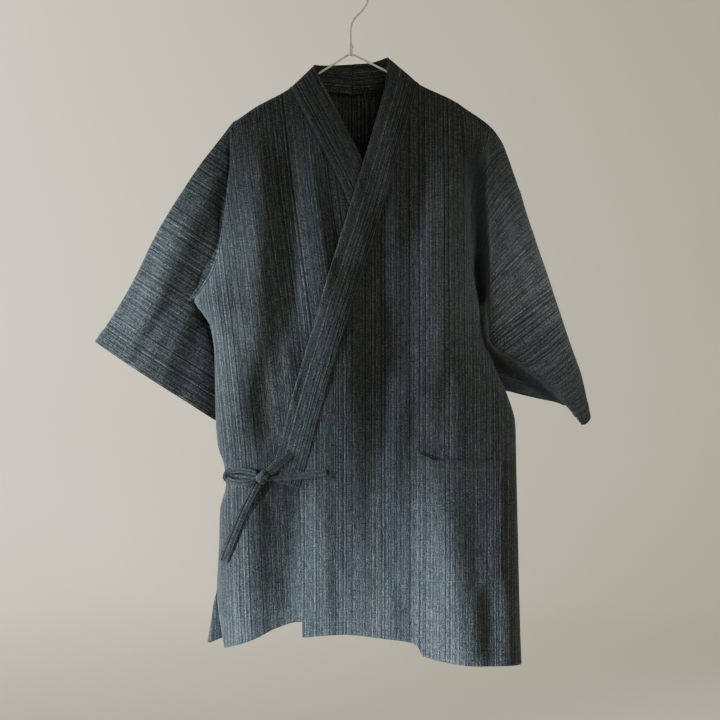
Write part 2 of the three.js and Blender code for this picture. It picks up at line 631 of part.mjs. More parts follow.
// Ways out of a grid of points, from its neighbours; sign says which way its rows run
function withNormals(points, sign, isTube = false) {
  const last = points.length - 1;
  const columns = points[0].length;
  return points.map((row, j) => row.map((p, i) => {
    const before = isTube ? (i + columns - 1) % columns : Math.max(i - 1, 0);
    const after = isTube ? (i + 1) % columns : Math.min(i + 1, columns - 1);
    const along = points[Math.min(j + 1, last)][i].clone().sub(points[Math.max(j - 1, 0)][i]);
    const across = row[after].clone().sub(row[before]);
    const n = along.cross(across).normalize().multiplyScalar(sign);
    return { p: p.toArray(), n: n.toArray() };
  }));
}

// Behind, a section's points lie at these shares of the way from the top fold to the underarm,
// and near the cuff they lift a little
const BACK_SHARES = [0.7, 0.35];
const CUFF_LIFT = 8;

// One sleeve section at a share of the way to the cuff, as a closed ring.
// shares tells where its points lie between the top fold and the underarm seam.
function sleeveRing(tables, at, shares) {
  const vector = (letter) => new THREE.Vector3(...["x", "y", "z"].map((axis) => tables[letter + axis](at)));
  const top = vector("t");
  const under = vector("u");
  const lift = CUFF_LIFT * ease(0.5, 1, at);
  const backPoint = (share) => {
    const p = top.clone().lerp(under, share);
    return p.add(new THREE.Vector3(0, tables.back(at), lift));
  };
  const frontPoints = [top, vector("f"), vector("v"), vector("w")];
  const controls = [...frontPoints, under, ...BACK_SHARES.map(backPoint)];
  const curve = new THREE.CatmullRomCurve3(controls, true, "centripetal");
  const underShare = frontPoints.length / controls.length;
  const front = alongStretch(curve, 0, underShare, shares);
  const rear = alongStretch(curve, 1, underShare, shares);
  return [...front, ...rear.slice(1, -1).reverse()];
}

// Points at given shares of the length of a stretch of a curve
function alongStretch(curve, from, to, shares) {
  const fine = 160;
  const points = [];
  for (let i = 0; i <= fine; i += 1) points.push(curve.getPoint(mix(from, to, i / fine)));
  const lengths = runningLengths(points);
  return shares.map((share) => {
    const aim = share * lengths[fine];
    let k = 0;
    while (k < fine - 1 && lengths[k + 1] < aim) k += 1;
    return points[k].clone().lerp(points[k + 1], (aim - lengths[k]) / (lengths[k + 1] - lengths[k]));
  });
}

function runningLengths(points) {
  const lengths = [0];
  for (let i = 1; i < points.length; i += 1) {
    lengths.push(lengths[i - 1] + points[i].distanceTo(points[i - 1]));
  }
  return lengths;
}

// A sleeve: its first section is the armhole, with a point on each row of the panels it is sewn to
function sleeve(table, edge, openness, sideAt, sign) {
  const tables = {};
  for (const name of Object.keys(table[0])) {
    if (name !== "at") tables[name] = through(table, "at", name);
  }
  const armhole = (facing) => {
    const points = [];
    for (let j = 0; j <= UNDERARM_ROW; j += 1) {
      const z = sideAt(j);
      points.push(new THREE.Vector3(edge(z) + sign * WIDE_SEAM, facing * (openness(z) + SEAM / 2), z));
    }
    return points;
  };
  const front = armhole(-1);
  const hole = [...front, ...armhole(1).slice(1, -1).reverse()];
  const lengths = runningLengths(front);
  const shares = lengths.map((length) => length / lengths[UNDERARM_ROW]);
  const plain = sleeveRing(tables, 0, shares);
  const sections = 13;
  const sectionCrowding = 1.15;
  const settleBy = 0.22;
  const points = [];
  for (let j = 0; j <= sections; j += 1) {
    const at = (j / sections) ** sectionCrowding;
    const settle = 1 - ease(0, settleBy, at);
    points.push(sleeveRing(tables, at, shares).map((p, i) =>
      p.add(hole[i].clone().sub(plain[i]).multiplyScalar(settle))));
  }
  return wall(withNormals(points, -sign, true), CLOTH, true);
}

function pocket() {
  const columns = 7;
  const steps = 8;
  const out = POCKET.gap + CLOTH;
  const rows = [];
  for (let j = 0; j <= steps; j += 1) {
    const v = j / steps;
    const row = [];
    for (let i = 0; i <= columns; i += 1) {
      const u = i / columns;
      const corner = POCKET.liftedCorner * (1 - ease(0, POCKET.cornerReach, u)) * (1 - v);
      const x = mix(POCKET.left, POCKET.right, u);
      const z = mix(POCKET.top + corner, POCKET.bottom, v);
      const beside = 1 - ease(POCKET.gapeFrom, POCKET.gapeTo, u);
      const gape = POCKET.gape * beside * (1 - ease(0, POCKET.gapeDepth, v));
      const n = wayOut(overFront, x, z, -1);
      const y = overFront(x, z);
      row.push({ p: [x + n[0] * (out + gape), y + n[1] * (out + gape), z + n[2] * (out + gape)], n });
    }
    rows.push(row);
  }
  return wall(rows, CLOTH);
}

// A flat tie laid over the fronts along its middle line
function tie(table) {
  const middle = table.map((row) => new THREE.Vector3(row.x, underFront(row.x, row.z) - row.off, row.z));
  const curve = new THREE.CatmullRomCurve3(middle, false, "centripetal");
  const last = table.length - 1;
  const steps = last * 4;
  const points = [];
  for (let j = 0; j <= steps; j += 1) {
    const t = j / steps;
    const k = Math.min(Math.floor(t * last), last - 1);
    const width = mix(table[k].width, table[k + 1].width, t * last - k);
    const p = curve.getPoint(t);
    const way = curve.getTangent(t);
    const side = new THREE.Vector3(way.z, 0, -way.x).normalize();
    points.push([-0.5, 0, 0.5].map((share) => p.clone().addScaledVector(side, share * width)));
  }
  return wall(withNormals(points, 1), TIE);
}

function knot() {
  const centre = [KNOT.x, underFront(KNOT.x, KNOT.z) - KNOT.off, KNOT.z];
  const geometry = new THREE.SphereGeometry(1, 14, 10);
  const bare = new THREE.BufferGeometry();
  bare.setAttribute("position", geometry.getAttribute("position"));
  bare.setIndex(geometry.getIndex());
  bare.scale(KNOT.halfX, KNOT.halfZ, KNOT.halfY);
  bare.rotateX(Math.PI / 2);
  bare.rotateY(KNOT.turn);
  bare.translate(...centre);
  bare.computeVertexNormals();
  return bare;
}

const WIRE_SIDES = 8;

// A round wire along a smooth line, with closed ends; radii may change on the way
function wire(points, radii, steps, sides) {
  const curve = new THREE.CatmullRomCurve3(points, false, "centripetal");
  const positions = [];
  const index = [];
  for (let j = 0; j <= steps; j += 1) {
    const t = j / steps;
    const p = curve.getPointAt(t);
    const way = curve.getTangentAt(t);
    const side = new THREE.Vector3(way.z, 0, -way.x).normalize();
    const depth = new THREE.Vector3(0, 1, 0);
    for (let i = 0; i < sides; i += 1) {
      const angle = (2 * Math.PI * i) / sides;
      const q = p.clone().addScaledVector(side, radii(t) * Math.cos(angle));
      q.addScaledVector(depth, radii(t) * Math.sin(angle));
      positions.push(q.x, q.y, q.z);
    }
  }
  for (let j = 0; j < steps; j += 1) {
    for (let i = 0; i < sides; i += 1) {
      const a = j * sides + i;
      const b = j * sides + ((i + 1) % sides);
      index.push(a, b, b + sides, a, b + sides, a + sides);
    }
  }
  for (let i = 1; i < sides - 1; i += 1) {
    index.push(0, i + 1, i);
    const end = steps * sides;
    index.push(end, end + i, end + i + 1);
  }
  return turnedOut(positions, index);
}

function hangerArm({ startX, startZ, shoulderX, endX, endDrop }) {
  const points = [flat(startX, startZ)];
  const under = (x, drop) => flat(x, frontTop(x) - ARM_DROP - drop);
  points.push(flat(mix(startX, shoulderX, 0.5), mix(startZ, frontTop(shoulderX) - ARM_DROP, 0.5)));
  for (const share of [0, 0.33, 0.67, 1]) {
    points.push(under(mix(shoulderX, endX, share), endDrop * share ** 3));
  }
  return wire(points, () => WIRE / 2, 10, WIRE_SIDES);
}

// The hook: twisted neck, stem, and the bend round the origin
const STEM = [[0, NECK_HEIGHT - 3], [0, NECK_HEIGHT + 12], [0, -66], [5, -53], [15, -43]];
const BEND = { from: -15, to: 215, step: 23 };
const TWIST = { extraRadius: 1.6, from: 0.03, to: 0.06 };
function hook() {
  const centre = -HOOK_RADIUS + WIRE / 2;
  const points = STEM.map(([x, z]) => flat(x, z));
  for (let degrees = BEND.from; degrees <= BEND.to; degrees += BEND.step) {
    const angle = THREE.MathUtils.degToRad(degrees);
    points.push(flat(HOOK_RADIUS * Math.cos(angle), centre + HOOK_RADIUS * Math.sin(angle)));
  }
  const twist = (t) => WIRE / 2 + TWIST.extraRadius * (1 - ease(TWIST.from, TWIST.to, t));
  return wire(points, twist, 34, WIRE_SIDES);
}

const cloth = new THREE.MeshStandardMaterial({ color: 0x3c464b, roughness: 0.92, metalness: 0 });
const metal = new THREE.MeshStandardMaterial({ color: 0xd8d2c6, roughness: 0.35, metalness: 0.8 });

const garment = new THREE.Group();
function add(name, geometry, material = cloth) {
  const mesh = new THREE.Mesh(geometry, material);
  mesh.name = name;
  garment.add(mesh);
}

add("back", backPanel());
add("back_yoke", backYoke());
add("front_right", frontPanel({ edge: rightEdge, sign: -1, top: frontTop, hem: underHem,
  seamLine: rightSeamLine, overlapSeam: UNDER_OVERLAP_SEAM, depth: tuckedFront }));
add("overlap_right", overlapPanel({ seamX: UNDER_OVERLAP_SEAM, seamLine: rightSeamLine,
  freeEdge: underEdge, freeTop: -745, hem: underHem, depth: tuckedFront, sign: -1 }));
add("front_left", frontPanel({ edge: leftEdge, sign: 1, top: frontTop, hem: overHem,
  seamLine: leftSeamLine, overlapSeam: OVER_OVERLAP_SEAM, depth: overFront }));
add("overlap_left", overlapPanel({ seamX: OVER_OVERLAP_SEAM, seamLine: leftSeamLine,
  freeEdge: overEdge, freeTop: -752, hem: overHem, depth: overFront, sign: 1 }));
add("collar_right", collar(RIGHT_BAND, tuckedFront, -1, 21));
add("collar_left", collar(LEFT_BAND, overFront, 1, 23));
add("sleeve_right", sleeve(RIGHT_SLEEVE, rightEdge, rightOpen, rightSideZ, -1));
add("sleeve_left", sleeve(LEFT_SLEEVE, leftEdge, leftOpen, leftSideZ, 1));
add("pocket", pocket());
add("tie_side", tie(SIDE_TIE));
add("tie_front", tie(FRONT_TIE));
add("tie_tail_side", tie(TAIL_SIDE));
add("tie_tail_down", tie(TAIL_DOWN));
add("tie_loop", tie(LOOP));
add("tie_knot", knot());
add("hanger_arm_right", hangerArm(RIGHT_ARM), metal);
add("hanger_arm_left", hangerArm(LEFT_ARM), metal);
add("hanger_hook", hook(), metal);

export default garment;
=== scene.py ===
import math
from types import SimpleNamespace

import bmesh
import bpy
import numpy as np
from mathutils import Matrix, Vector


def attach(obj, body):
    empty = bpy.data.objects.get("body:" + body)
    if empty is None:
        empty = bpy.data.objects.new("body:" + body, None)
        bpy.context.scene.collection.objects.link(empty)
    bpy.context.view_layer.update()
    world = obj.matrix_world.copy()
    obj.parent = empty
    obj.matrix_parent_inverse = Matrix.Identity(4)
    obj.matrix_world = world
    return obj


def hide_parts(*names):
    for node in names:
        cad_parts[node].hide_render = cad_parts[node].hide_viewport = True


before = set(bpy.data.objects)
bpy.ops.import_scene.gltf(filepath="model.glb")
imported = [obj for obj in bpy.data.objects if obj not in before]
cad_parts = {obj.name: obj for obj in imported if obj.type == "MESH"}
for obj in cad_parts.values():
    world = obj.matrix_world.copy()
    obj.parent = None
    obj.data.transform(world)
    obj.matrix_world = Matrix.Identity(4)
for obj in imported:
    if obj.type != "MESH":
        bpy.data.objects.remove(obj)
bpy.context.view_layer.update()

MM = 0.001
# Gaps at the seams, the over front's lap over the under front and how far the under front is tucked in
SEAM = 0.5
WIDE_SEAM = 0.9
LAP = 6
TUCK = 5
# Thicknesses
CLOTH = 1.1
BAND = 2.4
TIE = 1.6
WIRE = 3.2
# Turned hems: depth, how far the fold stands proud, how deep and wide the stitches' dip is
HEM = 20
SLEEVE_HEM = 18
HEM_PROUD = 0.8
HEM_DIP = 0.9
DIP_WIDTH = 1.8
# The collar band stands proud of the front, and its first rows lie behind the shoulder
BAND_PROUD = 0.9
BEHIND_ROWS = 4
REAR_STEPS = 60
BAND_WIDTH = 45
# Where folds and creases begin below the top edge, and how tightly the cloth turns at its edges
FOLD_FADE = 120
CREASE_FADE = 60
SHOULDER_ROLL = 9
FRONT_ROLL = 75
BACK_ROLL = 110
FRONT_SEED = 11
BACK_SEED = 41
# How finely the grids are divided
ROWS = 230
COLUMNS = 96
ARMHOLE_ROWS = 62
SLEEVE_RINGS = 120
# Places of the hanger and the neck
HOOK_RADIUS = 24.8
NECK_HEIGHT = -106
NECK_RIGHT = -92
NECK_LEFT = 101
NECK_ALLOWANCE = 3
ARM_DROP = 5.6
OVER_OVERLAP_SEAM = -10
UNDER_OVERLAP_SEAM = 40
# The armhole ends at the 11th of the solids' 26 rows, which lie closer together at the top
ROW_CROWDING = 1.25
SLEEVE_CROWDING = 1.15
UNDERARM_SHARE = (11 / 26) ** ROW_CROWDING
# The sleeves' stripes are a little wider than the body's
SLEEVE_STRIPES = 0.78
# The under front sinks beside the over front's edge, below the knot
SINK = dict(x=-86, half=36, top=700, full=790, depth=16)
POCKET = dict(left=98, right=222, top=-711, bottom=-890, liftedCorner=12, gape=4, gap=1.0, lip=2.6, dip=3.4)
KNOT = dict(x=-128, z=-736, off=13, halfX=11.5, halfY=7, halfZ=10)
RIGHT_ARM = dict(startX=-4.4, startZ=-107, shoulderX=-92, endX=-166, endDrop=0)
LEFT_ARM = dict(startX=4.4, startZ=-107, shoulderX=101, endX=182, endDrop=7)
FORWARD = np.array([0, -1, 0])
BACKWARD = np.array([0, 1, 0])


def table(columns, rows):
    """A table's rows, each with its values under the columns' names."""
    return [dict(zip(columns.split(), row)) for row in rows]


# The body's side edges from the shoulder's end to the hem, as in the solids
RIGHT_EDGE = table("z x open", [
    (-207, -176, 0), (-213, -176, 5), (-265, -180, 10), (-338, -188, 15), (-397, -195, 14),
    (-433, -207, 9), (-462, -226, 3), (-475, -235, 0), (-496, -222, 0), (-514, -211, 0),
    (-560, -205, 0), (-656, -203, 0), (-692, -200, 0), (-726, -190, 0), (-751, -188, 0),
    (-791, -197, 0), (-835, -198, 0), (-911, -201, 4), (-993, -190, 9),
])
LEFT_EDGE = table("z x open", [
    (-178, 158, 0), (-184, 160, 5), (-224, 165, 10), (-313, 170, 15), (-397, 174, 12), (-434, 182, 7),
    (-464, 189, 0), (-524, 200, 0), (-584, 219, 0), (-610, 232, 0), (-664, 247, 0), (-713, 248, 0),
    (-845, 251, 0), (-950, 253, 5), (-1017, 255, 9),
])
BACK_CORNER = table("z out", [
    (-835, 0), (-903, 0), (-942, -9), (-992, -26),
])
FRONT_TOP = table("x z", [
    (-240, -236), (-176, -207), (-143, -185), (-92, -157), (-54, -123), (0, -118), (56, -112),
    (101, -150), (147, -172), (158, -178), (260, -236),
])
BACK_TOP = table("x z behind", [
    (-240, -236, 0), (-176, -207, 0), (-143, -185, 0), (-92, -157, 0.5), (-60, -160, 13),
    (-26, -163, 18), (1, -165, 20), (47, -160, 18), (75, -155, 11), (101, -150, 0.5), (147, -172, 0),
    (158, -178, 0), (260, -236, 0),
])
FULLNESS = table("drop front back", [
    (0, 6, 6), (60, 14, 11), (130, 26, 17), (220, 38, 23), (330, 46, 27), (480, 52, 30), (640, 57, 34),
    (900, 64, 42),
])
FRONT_FOLDS = table("topX topZ endX endZ out half", [
    (-118, -180, -148, -700, 7, 30), (-88, -170, -98, -540, -8, 22), (-40, -330, -24, -960, 6, 32),
    (112, -230, 84, -600, -7, 26), (140, -170, 146, -620, 9, 24), (-62, -700, -108, -1000, -2, 22),
    (130, -700, 172, -1060, 16, 34), (90, -890, 86, -1060, -5, 18), (-150, -730, -146, -1060, 8, 26),
])
BACK_FOLDS = table("topX topZ endX endZ out half", [
    (-120, -200, -140, -1060, 10, 34), (-60, -300, -58, -1060, -8, 30), (15, -260, 30, -1060, 9, 36),
    (92, -220, 104, -1060, -8, 28), (138, -190, 178, -1060, 9, 30),
])
# Collar band by its seam and its free doubled fold; the first rows lie behind the shoulder
RIGHT_BAND = table("seam fold", [
    ((1, 20, -165), (1, 22, -118)), ((-26, 18, -163), (-24, 19, -120)),
    ((-60, 13, -160), (-44, 12, -121)), ((-86, 5, -155), (-54, 4, -121)),
    ((-92, 0, -157), (-55, 0, -125)), ((-84, 0, -173), (-46, 0, -142)),
    ((-52, 0, -235), (-12, 0, -211)), ((-12, 0, -314), (29, 0, -292)), ((32, 0, -430), (76, 0, -416)),
    ((72, 0, -590), (116, 0, -580)), ((90, 0, -745), (134, 0, -742)),
])
LEFT_BAND = table("seam fold", [
    ((1, 20, -165), (1, 22, -118)), ((47, 18, -160), (30, 19, -116)), ((75, 11, -155), (48, 10, -112)),
    ((96, 4, -148), (55, 3, -110)), ((101, 0, -150), (56, 0, -114)), ((96, 0, -172), (53, 0, -146)),
    ((68, 0, -271), (24, 0, -255)), ((52, 0, -329), (7, 0, -312)), ((24, 0, -420), (-21, 0, -402)),
    ((-5, 0, -510), (-49, 0, -496)), ((-35, 0, -609), (-79, 0, -597)),
    ((-63, 0, -712), (-107, 0, -700)), ((-74, 0, -752), (-116, 0, -741)),
])
OVER_EDGE = table("z x", [
    (-752, -74), (-775, -72), (-970, -71),
])
UNDER_EDGE = table("z x", [
    (-745, 90), (-948, 88),
])
OVER_HEM = table("x z", [
    (-71, -970), (-10, -966), (41, -971), (86, -978), (98, -984), (104, -997), (174, -1010),
    (255, -1017),
])
UNDER_HEM = table("x z", [
    (-190, -993), (-137, -971), (-109, -958), (-75, -949), (88, -948),
])
BACK_HEM = table("x z", [
    (-217, -992), (-190, -981), (-137, -966), (-90, -953), (-40, -958), (60, -972), (255, -1003),
])
# Sleeve sections from the armhole at 0 to the cuff at 1: top fold, front, turn under the arm, underarm
RIGHT_SLEEVE = table("at t f v w u back", [
    (0, (-176, 0, -207), (-181, -10, -265), (-188, -15, -338), (-205, -10, -430), (-235, 0, -475), 12),
    (0.1, (-199, 0, -237), (-186, -10, -262), (-193, -13, -345), (-217, -7, -430), (-244, 2, -479), 12),
    (0.2, (-224, 2, -268), (-206, -12, -286), (-196, -10, -345), (-227, 3, -438), (-246, 11, -486), 16),
    (0.32, (-250, 4, -306), (-220, -12, -332), (-199, -7, -378), (-230, 13, -455), (-215, 27, -503), 20),
    (0.52, (-292, 8, -373), (-254, -10, -402), (-233, 5, -442), (-226, 24, -484), (-195, 31, -562), 22),
    (0.75, (-334, 14, -454), (-292, -4, -486), (-242, 8, -526), (-207, 20, -575), (-198, 29, -612), 22),
    (1, (-386, 20, -537), (-322, 4, -580), (-252, 8, -625), (-206, 17, -655), (-186, 29, -667), 24),
])
LEFT_SLEEVE = table("at t f v w u back", [
    (0, (158, 0, -178), (166, -11, -240), (170, -15, -313), (174, -12, -397), (189, 0, -464), 12),
    (0.15, (218, -4, -226), (206, -21, -245), (184, -6, -300), (181, -2, -400), (194, 10, -478), 18),
    (0.3, (248, -6, -299), (208, -35, -345), (193, -8, -395), (193, 3, -440), (192, 19, -488), 22),
    (0.45, (272, -7, -373), (207, -42, -440), (203, -12, -470), (199, 5, -490), (187, 26, -502), 24),
    (0.6, (298, -8, -449), (205, -42, -527), (209, -20, -535), (208, 6, -537), (193, 30, -531), 26),
    (0.75, (322, -8, -524), (262, -38, -572), (247, -14, -570), (224, 5, -563), (202, 31, -557), 26),
    (0.88, (345, -8, -588), (312, -31, -617), (290, -8, -604), (248, 5, -591), (213, 30, -583), 26),
    (1, (357, -10, -649), (345, -22, -661), (320, -5, -633), (274, 4, -621), (227, 28, -608), 24),
])
SIDE_TIE = table("x z off width", [
    (-186, -733, 6.6, 12), (-165, -734, 7, 13), (-136, -736, 8, 12),
])
FRONT_TIE = table("x z off width", [
    (-90, -703, 9.8, 14), (-104, -715, 11.5, 14), (-118.8, -729, 14, 13),
])
TAIL_SIDE = table("x z off width", [
    (-116.6, -738, 14, 6), (-80, -735, 13, 9), (-35, -729, 9, 9),
])
TAIL_DOWN = table("x z off width", [
    (-135.7, -744.9, 11, 12), (-156, -785, 9, 14), (-173, -825, 11, 14), (-188, -861, 12, 14),
])
LOOP = table("x z off width", [
    (-138.2, -730, 14, 6), (-162, -726, 15, 8), (-181, -730, 17, 9), (-185, -738, 21, 9),
    (-172, -744, 23, 9), (-152, -744, 22, 9), (-139.5, -741, 18, 8),
])

# Soft creases of the fronts that the solids leave out: a line, its height out of the cloth
# (below 0 a trough), its half width and how far its middle bows
FRONT_CREASES = table("x0 z0 x1 z1 out half bow", [
    (-150, -205, -128, -330, 1.6, 9, 3), (-126, -180, -112, -420, -3.0, 11, -3),
    (-100, -230, -84, -520, -3.4, 13, 5), (-62, -250, -38, -470, 3.2, 15, -4),
    (-30, -330, -20, -460, -2.6, 10, 0), (-205, -455, -150, -600, 4.0, 13, 6),
    (-222, -478, -140, -540, -2.4, 11, 5), (-180, -540, -172, -700, 3.8, 15, -4),
    (-135, -560, -128, -700, -5.0, 17, 2), (-96, -520, -84, -660, 2.6, 13, 0),
    (-152, -735, -100, -860, 2.6, 12, 5), (-178, -742, -160, -900, -2.4, 10, 4),
    (-120, -745, -112, -900, -2.8, 13, 3), (-96, -860, -88, -955, -3.0, 9, 0),
    (-170, -870, -158, -985, 2.6, 12, 0), (-46, -740, -30, -960, 2.2, 14, 3),
    (-22, -860, -16, -968, -3.2, 10, 0), (8, -620, 14, -900, 2.4, 16, 4),
    (56, -520, 58, -900, 2.8, 17, -3), (34, -420, 30, -640, -2.2, 13, 0),
    (92, -240, 80, -470, -2.6, 12, 4), (118, -200, 106, -560, 2.4, 9, -3),
    (148, -190, 160, -470, -2.6, 10, 3), (166, -430, 196, -640, 2.6, 12, -5),
    (170, -470, 128, -640, -2.6, 15, -6), (104, -560, 98, -700, -3.0, 17, 0),
    (186, -600, 178, -760, -3.0, 14, 3), (222, -640, 232, -800, 2.0, 10, 0),
    (202, -880, 206, -1010, -3.0, 13, 0), (128, -900, 132, -1005, 2.4, 12, 0),
    (60, -880, 56, -970, 2.0, 11, 0), (236, -900, 240, -1012, 2.0, 9, 0),
    (-170, -740, -166, -1010, 5, 24, 3), (-2, -440, -4, -760, 4.5, 24, -4),
    (44, -290, 50, -760, -7, 22, 3), (98, -330, 110, -720, 5, 26, 0),
    (-140, -560, -100, -720, -5, 26, 4), (124, -740, 128, -900, 5, 40, 0),
])
BACK_CREASES = table("x0 z0 x1 z1 out half bow", [
    (-140, -215, -100, -420, 2.6, 12, 4), (-96, -190, -84, -480, -2.8, 14, -4),
    (-40, -200, -28, -460, 2.4, 14, 3), (20, -190, 6, -420, -2.2, 12, 0),
    (60, -190, 74, -500, 2.6, 13, 4), (118, -200, 108, -460, -2.8, 12, -3),
    (-215, -470, -120, -560, 3.0, 13, 7), (-200, -500, -150, -690, -3.0, 14, 5),
    (184, -470, 112, -560, 3.0, 13, -6), (196, -520, 160, -720, -2.8, 14, -4),
    (-110, -560, -104, -860, 3.2, 17, -3), (-30, -560, -36, -900, -3.2, 16, 4),
    (66, -600, 60, -930, 3.0, 16, 0), (140, -640, 134, -960, -3.0, 15, 3),
    (-166, -760, -172, -970, 2.8, 12, 0), (206, -760, 214, -990, 2.6, 12, 0),
    (0, -840, 4, -965, 2.6, 12, 0),
])
# Sleeve creases by the share round the front (0 top fold, 1 underarm, 2 top fold again behind)
# and the share from armhole to cuff
RIGHT_SLEEVE_CREASES = table("s0 a0 s1 a1 out half", [
    (0.20, 0.10, 0.16, 0.80, 2.6, 14), (0.34, 0.18, 0.30, 0.95, -2.4, 12),
    (0.46, 0.30, 0.50, 0.98, 2.2, 11), (0.62, 0.36, 0.62, 0.98, -2.6, 12),
    (0.10, 0.45, 0.08, 1.00, -1.8, 10), (0.26, 0.60, 0.24, 1.00, 2.0, 10),
    (1.20, 0.15, 1.24, 0.85, 2.6, 14), (1.40, 0.20, 1.46, 0.95, -2.6, 14),
    (1.62, 0.10, 1.66, 0.80, 2.4, 13), (1.80, 0.40, 1.80, 1.00, -2.0, 11),
])
LEFT_SLEEVE_CREASES = table("s0 a0 s1 a1 out half", [
    (0.16, 0.12, 0.14, 0.70, -2.2, 12), (0.28, 0.22, 0.26, 0.80, 2.4, 12),
    (0.08, 0.40, 0.10, 0.95, 1.8, 10), (0.40, 0.40, 0.36, 0.85, -2.0, 9),
    (0.70, 0.62, 0.72, 0.98, 1.6, 9), (1.22, 0.15, 1.26, 0.90, 2.6, 13),
    (1.44, 0.20, 1.50, 0.95, -2.6, 13), (1.64, 0.12, 1.66, 0.80, 2.2, 12),
    (1.82, 0.35, 1.80, 0.95, -2.0, 11),
])


# Lines, curves and soft noise

def through(rows, key, value):
    """A smooth line through a table's rows that never swings past them."""
    pairs = sorted((row[key], row[value]) for row in rows)
    x = np.array([a for a, _ in pairs], float)
    y = np.array([b for _, b in pairs], float)
    slope = np.diff(y) / np.diff(x)
    tangent = np.zeros(len(x))
    tangent[0], tangent[-1] = slope[0], slope[-1]
    for i in range(1, len(x) - 1):
        if slope[i - 1] * slope[i] > 0:
            tangent[i] = 2 * slope[i - 1] * slope[i] / (slope[i - 1] + slope[i])

    def line(at):
        here = np.clip(at, x[0], x[-1])
        i = np.clip(np.searchsorted(x, here) - 1, 0, len(x) - 2)
        span = x[i + 1] - x[i]
        t = (here - x[i]) / span
        s = 1 - t
        return (y[i] * (1 + 2 * t) * s * s + tangent[i] * span * t * s * s
                + y[i + 1] * (3 - 2 * t) * t * t - tangent[i + 1] * span * t * t * s)

    return line


def mix(a, b, t):
    return a + (b - a) * t


def ease(start, end, at):
    t = np.clip((at - start) / (end - start), 0, 1)
    return t * t * (3 - 2 * t)


def bell(distance, width):
    return np.exp(-((distance / width) ** 2))


def roll(distance, radius):
    """Rises from 0 to 1 as a quarter circle, as cloth turns round an edge."""
    return np.sqrt(1 - (1 - np.clip(distance / radius, 0, 1)) ** 2)


def smooth_curve(points, t, closed=False):
    """Centripetal curve through points at the shares t, the same one as in the solids."""
    p = np.asarray(points, float)
    count = len(p)
    place = (count if closed else count - 1) * np.asarray(t, float)
    i = np.floor(place).astype(int)
    if not closed:
        i = np.clip(i, 0, count - 2)
    w = (place - i)[..., None]
    if closed:
        p0, p1, p2, p3 = (p[(i + k) % count] for k in (-1, 0, 1, 2))
    else:
        ends = np.vstack([2 * p[0] - p[1], p, 2 * p[-1] - p[-2]])
        p0, p1, p2, p3 = (ends[i + k] for k in (0, 1, 2, 3))

    def knot(a, b):
        return (((a - b) ** 2).sum(-1, keepdims=True)) ** 0.25

    d0, d1, d2 = knot(p0, p1), knot(p1, p2), knot(p2, p3)
    d1 = np.where(d1 < 1e-4, 1.0, d1)
    d0 = np.where(d0 < 1e-4, d1, d0)
    d2 = np.where(d2 < 1e-4, d1, d2)
    t1 = ((p1 - p0) / d0 - (p2 - p0) / (d0 + d1) + (p2 - p1) / d1) * d1
    t2 = ((p2 - p1) / d1 - (p3 - p1) / (d1 + d2) + (p3 - p2) / d2) * d1
    return p1 + t1 * w + (3 * (p2 - p1) - 2 * t1 - t2) * w ** 2 + (2 * (p1 - p2) + t1 + t2) * w ** 3


def running_lengths(points):
    steps = np.linalg.norm(np.diff(points, axis=0), axis=1)
    return np.concatenate([[0], np.cumsum(steps)])


def even_line(points):
    """Points at shares of the length of a smooth curve."""
    fine = smooth_curve(points, np.linspace(0, 1, 1200))
    lengths = running_lengths(fine) / running_lengths(fine)[-1]
    return lambda share: np.stack([np.interp(share, lengths, fine[:, k]) for k in range(3)], -1)


def soft_noise(x, y, cell_x, cell_y, seed):
    """Smooth noise from -1 to 1 on a lattice of cells, the same on every run."""
    lattice = np.random.default_rng(seed).uniform(-1, 1, (128, 128))
    gx, gy = np.asarray(x) / cell_x + 500, np.asarray(y) / cell_y + 500
    ix, iy = np.floor(gx).astype(int), np.floor(gy).astype(int)
    fx, fy = gx - ix, gy - iy
    fx, fy = fx * fx * (3 - 2 * fx), fy * fy * (3 - 2 * fy)

    def corner(dx, dy):
        return lattice[(ix + dx) % 128, (iy + dy) % 128]

    low = mix(corner(0, 0), corner(1, 0), fx)
    high = mix(corner(0, 1), corner(1, 1), fx)
    return mix(low, high, fy)


right_edge = through(RIGHT_EDGE, "z", "x")
left_edge = through(LEFT_EDGE, "z", "x")
right_open = through(RIGHT_EDGE, "z", "open")
left_open = through(LEFT_EDGE, "z", "open")
back_corner = through(BACK_CORNER, "z", "out")
front_top = through(FRONT_TOP, "x", "z")
neck_back = through(BACK_TOP, "x", "z")
back_behind = through(BACK_TOP, "x", "behind")
front_fullness = through(FULLNESS, "drop", "front")
back_fullness = through(FULLNESS, "drop", "back")
over_hem = through(OVER_HEM, "x", "z")
under_hem = through(UNDER_HEM, "x", "z")
back_hem = through(BACK_HEM, "x", "z")
over_edge = through(OVER_EDGE, "z", "x")
under_edge = through(UNDER_EDGE, "z", "x")


def back_top(x):
    """The back's top edge: the front's own line on the shoulders, the neck's curve between them."""
    return np.where((x < NECK_RIGHT) | (x > NECK_LEFT), front_top(x), neck_back(x))


# The cloth's depth before and behind the hanger

def folds(table, x, z):
    total = 0
    for fold in table:
        along = (fold["topZ"] - z) / (fold["topZ"] - fold["endZ"])
        middle = mix(fold["topX"], fold["endX"], along)
        reach = ease(-0.05, 0.3, along) * (1 - ease(0.8, 1.05, along))
        total = total + fold["out"] * reach * bell(x - middle, fold["half"])
    return total


